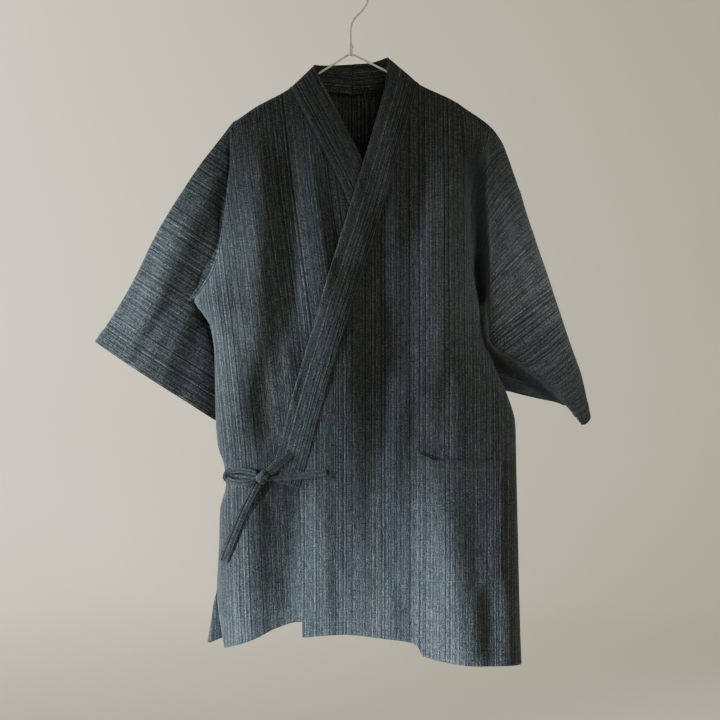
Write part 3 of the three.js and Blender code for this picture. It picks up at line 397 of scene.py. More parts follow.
def creases(table, x, z):
    total = 0
    for crease in table:
        dx, dz = crease["x1"] - crease["x0"], crease["z1"] - crease["z0"]
        length = math.hypot(dx, dz)
        along = ((x - crease["x0"]) * dx + (z - crease["z0"]) * dz) / length ** 2
        across = ((x - crease["x0"]) * dz - (z - crease["z0"]) * dx) / length
        across = across - crease["bow"] * 4 * np.clip(along, 0, 1) * (1 - np.clip(along, 0, 1))
        reach = ease(-0.08, 0.35, along) * (1 - ease(0.62, 1.08, along))
        total = total + crease["out"] * reach * bell(across, crease["half"])
    return total


def crinkle(x, z, seed):
    """The small unevenness of slubby cotton that hangs, longer down than across."""
    return (0.9 * soft_noise(x, z, 30, 95, seed) + 0.5 * soft_noise(x, z, 13, 42, seed + 1)
            + 0.22 * soft_noise(x, z, 6, 15, seed + 2))


def sides_roll(x, z, drop, radius):
    turn = mix(16, radius, ease(0, 150, drop))
    return roll(x - right_edge(z), turn) * roll(left_edge(z) - x, turn)

def cloth_depth(x, z, drop, side_radius, fold_table, crease_table, fullness, seed):
    """How far the cloth stands off the hanger: fullness, folds and creases, rolled in at the edges."""
    opening = np.where(x < 0, right_open(z), left_open(z))
    sides = sides_roll(x, z, drop, side_radius)
    relief = folds(fold_table, x, z) * ease(0, FOLD_FADE, drop)
    relief = relief + (creases(crease_table, x, z) + crinkle(x, z, seed)) * ease(0, CREASE_FADE, drop)
    form = opening + (fullness(drop) - opening) * sides + relief * sides
    return np.maximum(form, opening) * roll(drop, SHOULDER_ROLL)


def under_front(x, z):
    drop = front_top(x) - z
    return -SEAM / 2 - cloth_depth(x, z, drop, FRONT_ROLL, FRONT_FOLDS, FRONT_CREASES, front_fullness,
                                   FRONT_SEED)


def tucked_front(x, z):
    """The under front: tucked in behind the over front, and sunk beside its edge below the knot."""
    sink = bell(x - SINK["x"], SINK["half"]) * ease(SINK["top"], SINK["full"], -z)
    return under_front(x, z) + TUCK * ease(0, 70, x) + SINK["depth"] * sink * (1 - 0.6 * ease(880, 950, -z))


def over_front(x, z):
    lap = LAP * ease(15, 110, front_top(x) - z) * (1 - ease(150, 215, x))
    return under_front(x, z) - lap


def back_depth(x, z):
    drop = back_top(x) - z
    behind = back_behind(x) * (1 - ease(0, 110, drop))
    cloth = cloth_depth(x, z, drop, BACK_ROLL, BACK_FOLDS, BACK_CREASES, back_fullness, BACK_SEED)
    return SEAM / 2 + cloth + behind


# The two sides: their edges, seams and tables

def front_line(band, edge):
    """A collar band's seam or fold from the shoulder down, as an even line."""
    return even_line([(row[edge][0], 0, row[edge][2]) for row in band[BEHIND_ROWS:]])


RIGHT_SIDE = SimpleNamespace(
    word="right", sign=-1, edge=right_edge, open=right_open, top=RIGHT_EDGE[0]["z"], end=RIGHT_EDGE[-1]["z"],
    hem=under_hem, depth=tucked_front, band=RIGHT_BAND, overlap=UNDER_OVERLAP_SEAM, free_edge=under_edge,
    free_top=UNDER_EDGE[0]["z"], front_cut=37, overlap_cut=411, sleeve=RIGHT_SLEEVE,
    sleeve_creases=RIGHT_SLEEVE_CREASES, dive=13)
LEFT_SIDE = SimpleNamespace(
    word="left", sign=1, edge=left_edge, open=left_open, top=LEFT_EDGE[0]["z"], end=LEFT_EDGE[-1]["z"],
    hem=over_hem, depth=over_front, band=LEFT_BAND, overlap=OVER_OVERLAP_SEAM, free_edge=over_edge,
    free_top=OVER_EDGE[0]["z"], front_cut=0, overlap_cut=603, sleeve=LEFT_SLEEVE,
    sleeve_creases=LEFT_SLEEVE_CREASES, dive=5)
SIDES = (RIGHT_SIDE, LEFT_SIDE)


# Meshes

def add_object(name, data):
    obj = bpy.data.objects.new(name, data)
    bpy.context.scene.collection.objects.link(obj)
    return obj


def make_object(name, points, faces, uvs=None):
    mesh = bpy.data.meshes.new(name)
    mesh.from_pydata((np.asarray(points) * MM).tolist(), [], faces)
    mesh.update()
    if uvs is not None:
        layer = mesh.uv_layers.new(name="cut")
        corners = np.empty(len(mesh.loops), dtype=np.int32)
        mesh.loops.foreach_get("vertex_index", corners)
        layer.data.foreach_set("uv", (np.asarray(uvs)[corners] * MM).ravel().astype(np.float32))
    mesh.shade_smooth()
    return add_object(name, mesh)


def unit(vectors):
    return vectors / np.maximum(np.linalg.norm(vectors, axis=-1, keepdims=True), 1e-9)


def grid_normals(grid, is_tube=False):
    along = np.gradient(grid, axis=0)
    if is_tube:
        across = (np.roll(grid, -1, axis=1) - np.roll(grid, 1, axis=1)) / 2
    else:
        across = np.gradient(grid, axis=1)
    return unit(np.cross(along, across))


def forward_normals(grid):
    normal = grid_normals(grid)
    return np.where(normal[..., 1:2] > 0, -normal, normal)


def facing_out(points, faces):
    """The faces, all turned round where they enclose a volume below 0."""
    total = 0.0
    for size in (3, 4):
        chosen = np.array([face for face in faces if len(face) == size])
        if len(chosen) == 0:
            continue
        for k in range(1, size - 1):
            a, b, c = points[chosen[:, 0]], points[chosen[:, k]], points[chosen[:, k + 1]]
            total += float(np.einsum("ij,ij->i", a, np.cross(b, c)).sum())
    return [face[::-1] for face in faces] if total < 0 else faces


def cloth_wall(name, grid, thickness, cut, outward, is_tube=False):
    """A closed wall of cloth from a grid of its outer points, with rounded rims.

    cut holds the cloth's own distances across and along at the grid's points. outward is a
    point's rough way out, which tells on which side the thickness lies."""
    rows, columns = grid.shape[:2]
    normal = grid_normals(grid, is_tube)
    if (normal * outward).sum() < 0:
        normal = -normal
    points = np.vstack([grid.reshape(-1, 3), (grid - normal * thickness).reshape(-1, 3)])
    uv = np.stack(cut, -1).reshape(-1, 2)
    uvs = np.vstack([uv, uv])
    count = rows * columns
    index = np.arange(count).reshape(rows, columns)
    if is_tube:
        index = np.hstack([index, index[:, :1]])
    a, b = index[:-1, :-1].ravel(), index[:-1, 1:].ravel()
    c, d = index[1:, 1:].ravel(), index[1:, :-1].ravel()
    faces = np.stack([a, b, c, d], -1).tolist()
    faces += (np.stack([a, d, c, b], -1) + count).tolist()
    rims = [(index[0], grid[0] - grid[1]), (index[-1][::-1], (grid[-1] - grid[-2])[::-1])]
    if not is_tube:
        rims += [(index[::-1, 0], (grid[:, 0] - grid[:, 1])[::-1]), (index[:, -1], grid[:, -1] - grid[:, -2])]
    for rim, push in rims:
        push = unit(push)
        if is_tube:
            rim_here = rim[:-1]
        else:
            push[0] = push[-1] = 0
            rim_here = rim
        middle = (points[rim_here] + points[rim_here + count]) / 2 + push * thickness * 0.3
        edge = np.arange(len(points), len(points) + len(middle))
        if is_tube:
            edge = np.append(edge, edge[0])
        points = np.vstack([points, middle])
        uvs = np.vstack([uvs, uvs[rim_here]])
        faces += np.stack([rim[1:], rim[:-1], edge[:-1], edge[1:]], -1).tolist()
        faces += np.stack([edge[1:], edge[:-1], rim[:-1] + count, rim[1:] + count], -1).tolist()
    obj = make_object(name, points, facing_out(points, faces), uvs)
    if not is_tube:
        weld(obj.data)
    return obj, normal


def weld(mesh):
    """Joins the two rim points that meet at each corner of a wall."""
    made = bmesh.new()
    made.from_mesh(mesh)
    bmesh.ops.remove_doubles(made, verts=made.verts, dist=1e-6)
    made.to_mesh(mesh)
    made.free()


def closed_rings(grid, tips):
    """Points and faces of a closed form from its rings and the tips at its two ends."""
    rows, sides = grid.shape[:2]
    index = np.arange(rows * sides).reshape(rows, sides)
    right = np.roll(index, -1, axis=1)
    faces = np.stack([index[:-1], right[:-1], right[1:], index[1:]], -1).reshape(-1, 4).tolist()
    start = rows * sides
    faces += [[start, int(right[0, k]), int(index[0, k])] for k in range(sides)]
    faces += [[start + 1, int(index[-1, k]), int(right[-1, k])] for k in range(sides)]
    points = np.vstack([grid.reshape(-1, 3), tips])
    return points, facing_out(points, faces)


def finish_piece(obj, material, node_names):
    if not obj.data.materials:
        obj.data.materials.append(material)
    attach(obj, "root")
    if node_names:
        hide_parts(*node_names)
    return obj


# Cloth pieces

def panel_rows(rows):
    """Shares of a panel's length, closer together at the top."""
    share = np.linspace(0, 1, rows) ** 1.12
    return np.concatenate([[0, 0.002, 0.005, 0.008], share[1:] * 0.992 + 0.008])


def hem_relief(distance, depth=HEM):
    """A turned hem stands a little proud and dips along its stitches."""
    fold = HEM_PROUD * (1 - ease(depth - 1.5, depth + 1.5, distance))
    return fold - HEM_DIP * bell(distance - depth, DIP_WIDTH)


def height_on(seam, x):
    """The height at which a seam crosses x."""
    order = np.argsort(seam[:, 0])
    return float(np.interp(x, seam[order, 0], seam[order, 2]))


def front_grid(side):
    """A front's main panel, from its side edge to the collar's seam and the overlap's seam."""
    v = panel_rows(ROWS)[:, None]
    u = (np.linspace(0, 1, COLUMNS) ** 1.2)[None, :]
    side_z = mix(side.top, side.end, v)
    seam = front_line(side.band, "seam")(np.linspace(0, 1, 900))
    inner_start = seam[0, 2]
    inner_end = float(side.hem(side.overlap))
    aim_z = mix(inner_start, inner_end, v)
    seam_x = np.interp(-aim_z, -seam[:, 2], seam[:, 0])
    inner_x = np.where(aim_z > height_on(seam, side.overlap), seam_x, side.overlap) + side.sign * SEAM / 2
    x = mix(side.edge(side_z), inner_x, u)
    z = mix(side_z, aim_z, u)
    top_z = front_top(mix(side.edge(side.top), seam[0, 0], u))
    z = z + (top_z - mix(side.top, inner_start, u)) * (1 - ease(0, 0.16, v))
    z = z + (side.hem(x) - mix(side.end, inner_end, u)) * ease(0.84, 1, v)
    z[:, 0] = side_z[:, 0]
    y = side.depth(x, z)
    y[:, 0] = -SEAM / 2 - side.open(z[:, 0])
    y[0, :] = -SEAM / 2
    y = y - hem_relief(np.abs(z - side.hem(x)))
    return np.stack([x, y, z], -1)


def overlap_grid(side):
    """The narrow panel between a front's main panel and its free edge."""
    seam = front_line(side.band, "seam")(np.linspace(0, 1, 900))
    start_z = height_on(seam, side.overlap) - 10
    end_z = float(side.hem(side.overlap))
    share = np.linspace(0, 1, 170)[:, None]
    u = np.linspace(0, 1, 26)[None, :]
    z0 = mix(start_z, end_z, share)
    on_seam = np.interp(-z0, -seam[:, 2], seam[:, 0]) + side.sign * SEAM / 2
    outer_x = np.where(z0 > side.free_top, on_seam, side.free_edge(z0))
    x = mix(side.overlap - side.sign * SEAM / 2, outer_x, u)
    z = z0 + (side.hem(x) - end_z) * ease(0.8, 1, share)
    y = side.depth(x, z) - hem_relief(np.abs(z - side.hem(x)))
    return np.stack([x, y, z], -1)


def back_grid():
    v = panel_rows(ROWS)[:, None]
    u = np.linspace(0, 1, 150)[None, :]
    right_z = mix(RIGHT_SIDE.top, RIGHT_SIDE.end, v)
    left_z = mix(LEFT_SIDE.top, LEFT_SIDE.end, v)
    top_x = mix(float(RIGHT_EDGE[0]["x"]), float(LEFT_EDGE[0]["x"]), u)
    x = mix(right_edge(right_z) + back_corner(right_z), left_edge(left_z), u)
    z = mix(right_z, left_z, u)
    z = z + (back_top(top_x) - mix(RIGHT_SIDE.top, LEFT_SIDE.top, u)) * (1 - ease(0, 0.2, v))
    z = z + (back_hem(x) - mix(RIGHT_SIDE.end, LEFT_SIDE.end, u)) * ease(0.8, 1, v)
    y = back_depth(x, z)
    on_neck = (top_x[0] > NECK_RIGHT) & (top_x[0] < NECK_LEFT)
    y[0, :] = SEAM / 2 + back_behind(x[0])
    z[0, :] = back_top(x[0]) + np.where(on_neck, NECK_ALLOWANCE, 0)
    y[1:, 0] = (SEAM / 2 + right_open(right_z) - back_corner(right_z) * 0.3)[1:, 0]
    y[1:, -1] = (SEAM / 2 + left_open(left_z))[1:, 0]
    into_band = (1 - ease(1, 5, back_top(x) - z)) * (top_x > NECK_RIGHT + 4) * (top_x < NECK_LEFT - 4)
    y = y + hem_relief(np.abs(z - back_hem(x))) + 1.3 * into_band
    return np.stack([x, y, z], -1)


def yoke_grid():
    u = np.linspace(0, 1, 60)[None, :]
    v = np.linspace(0, 1, 30)[:, None]
    x = mix(-80.0, 90.0, u) + 0 * v
    z = mix(back_top(x) - 6, -239, v)
    y = back_depth(x, z) - CLOTH - 1.9 - 0.35 * bell(z + 235, 2.5)
    return np.stack([x, y, z], -1)


def band_grid(side):
    """The doubled collar band: rows follow it from the centre back down to its end."""
    share = np.linspace(0, 1, ROWS)
    u = np.linspace(0, 1, 17)
    seam, fold = front_line(side.band, "seam")(share), front_line(side.band, "fold")(share)
    start = seam + unit(fold - seam) * WIDE_SEAM
    front = mix(start[:, None, :], fold[:, None, :], u[None, :, None])
    front[..., 1] = side.depth(front[..., 0], front[..., 2]) - BAND_PROUD
    lines = []
    for edge, column in (("seam", 0), ("fold", -1)):
        line = np.array([row[edge] for row in side.band[:BEHIND_ROWS]], float)
        line[0, 0] += side.sign * SEAM / 2
        lines.append(np.vstack([line, front[:1, column]]))
    seam_line, fold_line = lines
    seam_line[:-1] += unit(fold_line - seam_line)[:-1] * WIDE_SEAM
    at = np.linspace(0, 1, REAR_STEPS + 1)[:-1] ** 1.3
    rear_seam, rear_fold = smooth_curve(seam_line, at), smooth_curve(fold_line, at)
    rear = mix(rear_seam[:, None, :], rear_fold[:, None, :], u[None, :, None])
    return smooth_rows(np.vstack([rear, front]), REAR_STEPS, 9)


def smooth_rows(grid, middle, reach):
    """Eases the bend where the band comes over the shoulder."""
    part = grid[middle - reach:middle + reach + 1]
    for _ in range(6):
        part[1:-1] = (part[:-2] + 2 * part[1:-1] + part[2:]) / 4
    return grid


def girths(grid):
    return np.linalg.norm(np.roll(grid, -1, axis=1) - grid, axis=2).sum(1) / 2


def sleeve_grid(side):
    """Rings parallel to the cuff; the first one meets the panels' armhole.

    side.dive is how far the sleeve's front drops behind the body's edge beside the armhole."""
    lines = {}
    for letter in "tfvwu":
        tables = [[dict(at=row["at"], value=row[letter][k]) for row in side.sleeve] for k in range(3)]
        lines[letter] = [through(rows, "at", "value") for rows in tables]
    back = through(side.sleeve, "at", "back")
    z_side = mix(side.top, side.end, np.linspace(0, 1, ARMHOLE_ROWS) ** ROW_CROWDING * UNDERARM_SHARE)
    hole_x = side.edge(z_side) + side.sign * WIDE_SEAM
    hole_front = np.stack([hole_x, -(side.open(z_side) + SEAM / 2), z_side], -1)
    hole = np.vstack([hole_front, (hole_front * [1, -1, 1])[1:-1][::-1]])
    lengths = running_lengths(hole_front)
    shares = lengths / lengths[-1]

    def ring(at):
        top, front, turn, wrap, under = (np.array([line(at) for line in lines[c]]) for c in "tfvwu")
        lift = np.array([0, float(back(at)), 8 * float(ease(0.5, 1, at))])
        controls = [top, front, turn, wrap, under, mix(top, under, 0.7) + lift, mix(top, under, 0.35) + lift]
        half = 4 / len(controls)
        sides = []
        for start in (0.0, 1.0):
            path = smooth_curve(controls, mix(start, half, np.linspace(0, 1, 160)) % 1.0, closed=True)
            run = running_lengths(path)
            sides.append(np.stack([np.interp(shares * run[-1], run, path[:, k]) for k in range(3)], -1))
        return np.vstack([sides[0], sides[1][1:-1][::-1]])

    plain = ring(0.0)
    steps = np.linspace(0, 1, SLEEVE_RINGS) ** SLEEVE_CROWDING
    grid = np.stack([ring(at) + (hole - plain) * (1 - ease(0, 0.22, at)) for at in steps])
    along = np.linalg.norm(grid.mean(1) - grid[0].mean(0), axis=1)
    round_it = np.concatenate([shares, 2 - shares[1:-1][::-1]])
    girth = girths(grid)
    normal = grid_normals(grid, True)
    across = round_it[None, :] * girth[:, None]
    down = along[:, None] + 0 * across
    relief = 0.8 * soft_noise(across, down, 26, 60, 71 + (side.sign > 0))
    relief = relief + 0.35 * soft_noise(across, down, 11, 24, 75 + (side.sign > 0))
    for crease in side.sleeve_creases:
        part = (steps - crease["a0"]) / (crease["a1"] - crease["a0"])
        middle = mix(crease["s0"], crease["s1"], part)
        reach = ease(-0.1, 0.4, part) * (1 - ease(0.75, 1.25, part))
        off = (round_it[None, :] - middle[:, None]) * girth[:, None]
        relief = relief + crease["out"] * reach[:, None] * bell(off, crease["half"])
    relief = relief * ease(0.0, 0.12, steps)[:, None]
    tuck = side.dive * ease(0.0, 0.035, steps) * (1 - ease(0.12, 0.5, steps))
    front_share = np.where(round_it < 1, np.sin(np.pi * np.clip(round_it, 0, 1)) ** 0.7, 0.0)
    grid[..., 1] += tuck[:, None] * front_share[None, :]
    relief = relief + hem_relief((1 - steps)[:, None] * along[-1] + 0 * across, SLEEVE_HEM)
    normal = np.where((normal * outward_of_tube(grid)).sum(-1, keepdims=True) < 0, -normal, normal)
    return grid + normal * relief[..., None], along, round_it


def outward_of_tube(grid):
    return grid - grid.mean(axis=1, keepdims=True)


def plane_stripes(grid, shift, direction=(1.0, 0.0)):
    """The cut's distances where its stripes run at a right angle to direction."""
    dx, dz = direction
    return grid[..., 0] * dx + grid[..., 2] * dz + shift, grid[..., 2] * dx - grid[..., 0] * dz


def tie_grid(rows):
    """A narrow folded strip along its middle line, a little crowned and dented."""
    middle = [(row["x"], float(under_front(row["x"], row["z"])) - row["off"], row["z"]) for row in rows]
    t = np.linspace(0, 1, 30 * (len(rows) - 1) + 1)
    path = smooth_curve(middle, t)
    way = np.gradient(path, axis=0)
    side = unit(np.stack([way[:, 2], 0 * way[:, 0], -way[:, 0]], -1))
    width = np.interp(t * (len(rows) - 1), np.arange(len(rows)), [row["width"] for row in rows])
    u = np.linspace(-0.5, 0.5, 13)
    across = u[None, :] * width[:, None]
    along = running_lengths(path)[:, None] + 0 * across
    grid = path[:, None, :] + side[:, None, :] * across[..., None]
    crown = 0.5 * (1 - (2 * u) ** 4) - 0.45 * bell(np.abs(u) - 0.34, 0.06)
    grid[..., 1] -= crown[None, :] + 0.5 * soft_noise(along, u[None, :] * 14 + 0 * along, 17, 9, 91)
    return grid, across, along


def knot_piece(material):
    """The bow's knot: a gathered lump with a strip wrapped over it."""
    centre = np.array([KNOT["x"], float(under_front(KNOT["x"], KNOT["z"])) - KNOT["off"], KNOT["z"]])
    theta = np.linspace(0, np.pi, 40)[:, None]
    phi = np.linspace(0, 2 * np.pi, 56, endpoint=False)[None, :]
    long_way = np.cos(theta) + 0 * phi
    wide = np.sin(theta) ** 0.8 * np.cos(phi)
    deep = np.sin(theta) ** 0.8 * np.sin(phi)
    gather = 1 - 0.10 * np.cos(5 * phi + 0.6) * (1 - np.sin(theta) ** 4) - 0.05 * np.cos(9 * phi)
    wrap = 1 + 0.13 * np.exp(-(((long_way - 0.35) / 0.17) ** 4))
    wrap = wrap - 0.10 * bell(long_way - 0.08, 0.07)
    tilt = math.radians(40)
    local_x = KNOT["halfX"] * 0.96 * long_way
    local_z = KNOT["halfZ"] * 0.9 * wide * gather * wrap
    local_y = KNOT["halfY"] * 0.94 * deep * gather * wrap
    x = local_x * math.cos(tilt) - local_z * math.sin(tilt)
    z = local_x * math.sin(tilt) + local_z * math.cos(tilt)
    grid = np.stack([x, local_y, z], -1) + centre
    points, faces = closed_rings(grid[1:-1], [grid[0, 0], grid[-1, 0]])
    cut = np.stack([wide * 12, long_way * 12], -1)
    uvs = np.vstack([cut[1:-1].reshape(-1, 2), cut[0, 0], cut[-1, 0]])
    return finish_piece(make_object("bow_knot", points, faces, uvs), material, ["tie_knot"])


# The hanger's wire

def wire_tube(path, radius, sides=18):
    """Points and faces of a round wire along a path, with rounded ends."""
    way = unit(np.gradient(path, axis=0))
    deep = unit(np.array([0.0, 1.0, 0.0]) - way * way[:, 1:2])
    across = np.cross(way, deep)
    angle = np.linspace(0, 2 * np.pi, sides, endpoint=False)
    ring = deep[:, None] * np.sin(angle)[None, :, None] + across[:, None] * np.cos(angle)[None, :, None]

    def cap(end, sign, lift):
        return path[end] + sign * way[end] * radius * lift + ring[end] * radius * math.sqrt(1 - lift ** 2)

    tube = path[:, None] + ring * radius
    grid = np.vstack([[cap(0, -1, 0.8), cap(0, -1, 0.45)], tube, [cap(-1, 1, 0.45), cap(-1, 1, 0.8)]])
    return closed_rings(grid, [path[0] - way[0] * radius, path[-1] + way[-1] * radius])


def joined_wire(name, tubes, material, node):
    points, faces, start = [], [], 0
    for tube_points, tube_faces in tubes:
        points.append(tube_points)
        faces += [[i + start for i in face] for face in tube_faces]
        start += len(tube_points)
    finish_piece(make_object(name, np.vstack(points), faces), material, [node])


def hanger_arm_path(arm):
    points = [(arm["startX"], 0, arm["startZ"])]
    top = float(front_top(arm["shoulderX"])) - ARM_DROP
    points.append((mix(arm["startX"], arm["shoulderX"], 0.5), 0, mix(arm["startZ"], top, 0.5)))
    for share in (0, 0.33, 0.67, 1):
        x = mix(arm["shoulderX"], arm["endX"], share)
        points.append((x, 0, float(front_top(x)) - ARM_DROP - arm["endDrop"] * share ** 3))
    return points


def even_path(points, steps):
    return even_line(points)(np.linspace(0, 1, steps))


def hanger(material):
    """Two arms, a twisted neck of two strands, and the hook round the origin."""
    for word, arm in (("right", RIGHT_ARM), ("left", LEFT_ARM)):
        tube = wire_tube(even_path(hanger_arm_path(arm), 120), WIRE / 2)
        joined_wire("hanger_wire_" + word, [tube], material, "hanger_arm_" + word)
    centre = -HOOK_RADIUS + WIRE / 2
    bend = [(0, 0, -94), (0, 0, -66), (5, 0, -53), (15, 0, -43)]
    for degrees in range(-15, 177, 19):
        angle = math.radians(degrees)
        bend.append((HOOK_RADIUS * math.cos(angle), 0, centre + HOOK_RADIUS * math.sin(angle)))
    tubes = [wire_tube(even_path(bend, 260), WIRE / 2)]
    twist_radius, turns, start, end = 1.45, 2.5, NECK_HEIGHT - 2, -91
    share = np.linspace(0, 1, 120)
    for phase in (0.0, math.pi):
        angle = 2 * math.pi * turns * share + phase
        coil = [twist_radius * np.cos(angle), twist_radius * np.sin(angle), mix(start, end, share)]
        tubes.append(wire_tube(np.stack(coil, -1), WIRE * 0.46, 14))
    tip = [(0, -1.4, -92), (2.2, -1.7, -93.4), (3.0, -1.2, -96)]
    tubes.append(wire_tube(even_path(tip, 16), WIRE * 0.42, 14))
    joined_wire("hanger_hook_wire", tubes, material, "hanger_hook")


# Materials

class Nodes:
    """Short ways to add and link the nodes of a tree."""

    def __init__(self, tree):
        self.tree = tree
        self.shader = tree.nodes.get("Principled BSDF")

    def put(self, value, socket):
        if isinstance(value, bpy.types.NodeSocket):
            self.tree.links.new(value, socket)
        else:
            socket.default_value = value

    def node(self, kind, inputs=None, **settings):
        """A new node with these settings and inputs, by its outputs."""
        node = self.tree.nodes.new(kind)
        for key, value in settings.items():
            setattr(node, key, value)
        for key, value in (inputs or {}).items():
            self.put(value, node.inputs[key])
        return node.outputs

    def place(self):
        return self.node("ShaderNodeTexCoord")["Object"]

    def math(self, operation, *values):
        return self.node("ShaderNodeMath", dict(enumerate(values)), operation=operation)[0]

    def times(self, a, b):
        return self.math("MULTIPLY", a, b)

    def plus(self, a, b):
        return self.math("ADD", a, b)

    def range(self, *values):
        """The first value eased from low and high to the two last values."""
        return self.node("ShaderNodeMapRange", dict(enumerate(values)), interpolation_type="SMOOTHSTEP")[0]

    def combine(self, x, y, z=0.0):
        return self.node("ShaderNodeCombineXYZ", {0: x, 1: y, 2: z})[0]

    def noise(self, vector, scale, detail=2.0, roughness=0.5):
        inputs = {"Vector": vector, "Scale": scale, "Detail": detail, "Roughness": roughness}
        return self.node("ShaderNodeTexNoise", inputs)["Fac"]

    def white(self, value):
        return self.node("ShaderNodeTexWhiteNoise", {"W": value}, noise_dimensions="1D")["Value"]

    def blend(self, share, a, b, mode="MIX"):
        return self.node("ShaderNodeMix", {0: share, 6: a, 7: b}, data_type="RGBA", blend_type=mode)[2]

    def surface(self, settings):
        for name, value in settings.items():
            self.put(value, self.shader.inputs[name])

    def bump(self, height, strength, distance):
        inputs = {"Height": height, "Strength": strength, "Distance": distance}
        self.surface({"Normal": self.node("ShaderNodeBump", inputs)[0]})


def new_material(name):
    material = bpy.data.materials.new(name)
    material.use_nodes = True
    return material, Nodes(material.node_tree)


GROUND = (0.042, 0.050, 0.055, 1)
PALE_YARN = (0.124, 0.125, 0.104, 1)
NAVY_YARN = (0.005, 0.008, 0.013, 1)
# Three kinds of stripe, in metres on the cut: the cell that holds one line, its width, its own shift
PALE_LINES = (0.0072, 0.0010, 7.0)
FAINT_LINES = (0.0035, 0.0010, 31.0)
NAVY_LINES = (0.0047, 0.0019, 83.0)
YARN_WIDTH = 0.0009


def thin_lines(n, across, kind):
    """One line in each cell of this width, each at its own place, of its own width and strength."""
    cell, width, shift = kind
    place = n.plus(n.math("DIVIDE", across, cell), shift)
    number = n.math("FLOOR", place)
    middle = n.math("MULTIPLY_ADD", n.white(number), 0.44, 0.28)
    off = n.times(n.math("ABSOLUTE", n.math("SUBTRACT", n.math("FRACT", place), middle)), cell)
    half = n.times(n.math("MULTIPLY_ADD", n.white(n.plus(number, 57.3)), 0.7, 0.65), width / 2)
    line = n.range(n.math("SUBTRACT", off, half), -width * 0.22, width * 0.22, 1.0, 0.0)
    return n.times(line, n.math("MULTIPLY_ADD", n.white(n.plus(number, 91.7)), 0.6, 0.4))


def striped_cotton():
    """Slubby crepe cotton with fine uneven stripes, on the cut's own distances."""
    material, n = new_material("striped_cotton")
    cut = n.node("ShaderNodeUVMap", uv_map="cut")[0]
    across, along = n.node("ShaderNodeSeparateXYZ", {0: cut})[:2]

    def cells(per_across, per_along, detail=2.0, roughness=0.5):
        place = n.combine(n.times(across, per_across), n.times(along, per_along))
        return n.noise(place, 1.0, detail, roughness)

    drift = n.times(n.math("SUBTRACT", cells(60.0, 9.0), 0.5), 0.0022)
    here = n.plus(across, drift)
    slub = cells(150.0, 34.0, 3.0, 0.65)
    pale = n.times(thin_lines(n, here, PALE_LINES), n.range(slub, 0.34, 0.60, 0.30, 1.0))
    faint = n.times(thin_lines(n, here, FAINT_LINES), n.range(slub, 0.38, 0.62, 0.10, 0.40))
    navy = n.times(thin_lines(n, here, NAVY_LINES), 0.96)
    yarn = n.white(n.math("FLOOR", n.math("DIVIDE", here, YARN_WIDTH)))
    color = n.blend(navy, GROUND, NAVY_YARN)
    color = n.blend(n.math("MAXIMUM", pale, faint), color, PALE_YARN)
    grain = cells(620.0, 400.0, 2.0, 0.65)
    weft = cells(110.0, 420.0, 2.0, 0.6)
    streak = cells(430.0, 70.0, 2.0, 0.6)
    cloudy = cells(16.0, 8.0, 3.0, 0.55)
    speckle = n.plus(n.range(grain, 0.30, 0.70, 0.34, 1.70), n.range(weft, 0.32, 0.68, -0.20, 0.20))
    speckle = n.times(speckle, n.range(streak, 0.28, 0.72, 0.66, 1.34))
    speckle = n.times(speckle, n.math("MULTIPLY_ADD", yarn, 0.36, 0.82))
    speckle = n.times(speckle, n.range(cloudy, 0.25, 0.75, 0.90, 1.10))
    n.surface({
        "Base Color": n.blend(1.0, color, n.combine(speckle, speckle, speckle), "MULTIPLY"),
        "Roughness": 0.9, "Specular IOR Level": 0.25,
        "Sheen Weight": 0.18, "Sheen Roughness": 0.5, "Sheen Tint": (0.70, 0.84, 1.0, 1),
    })
    height = n.plus(n.times(grain, 0.8), n.times(weft, 0.45))
    height = n.plus(height, n.times(streak, 0.9))
    n.bump(n.plus(height, n.times(pale, 0.35)), 1.0, 0.0016)
    return material


def sewing_thread():
    material, n = new_material("sewing_thread")
    shade = n.noise(n.place(), 900.0)
    n.surface({
        "Base Color": n.blend(shade, (0.045, 0.058, 0.068, 1), (0.12, 0.15, 0.17, 1)),
        "Roughness": 0.7, "Sheen Weight": 0.2,
    })
    return material


def coated_wire():
    material, n = new_material("coated_wire")
    wear = n.range(n.noise(n.place(), 60.0, 4.0, 0.6), 0.35, 0.7, 0.0, 1.0)
    fine = n.noise(n.place(), 700.0)
    n.surface({
        "Base Color": n.blend(wear, (0.84, 0.81, 0.73, 1), (0.93, 0.91, 0.86, 1)),
        "Roughness": n.range(fine, 0.3, 0.7, 0.26, 0.42),
    })
    n.bump(fine, 0.15, 0.0002)
    return material


def pale_plaster():
    material, n = new_material("pale_plaster")
    patch = n.noise(n.place(), 1.2, 3.0)
    n.surface({
        "Base Color": n.blend(patch, (0.595, 0.575, 0.485, 1), (0.635, 0.615, 0.525, 1)),
        "Roughness": 0.9,
    })
    n.bump(n.noise(n.place(), 160.0, 3.0), 0.08, 0.001)
    return material


# Stitches by Geometry Nodes

STITCH = {"Stitch pitch": 3.2, "Stitch length": 2.3, "Thread radius": 0.32}


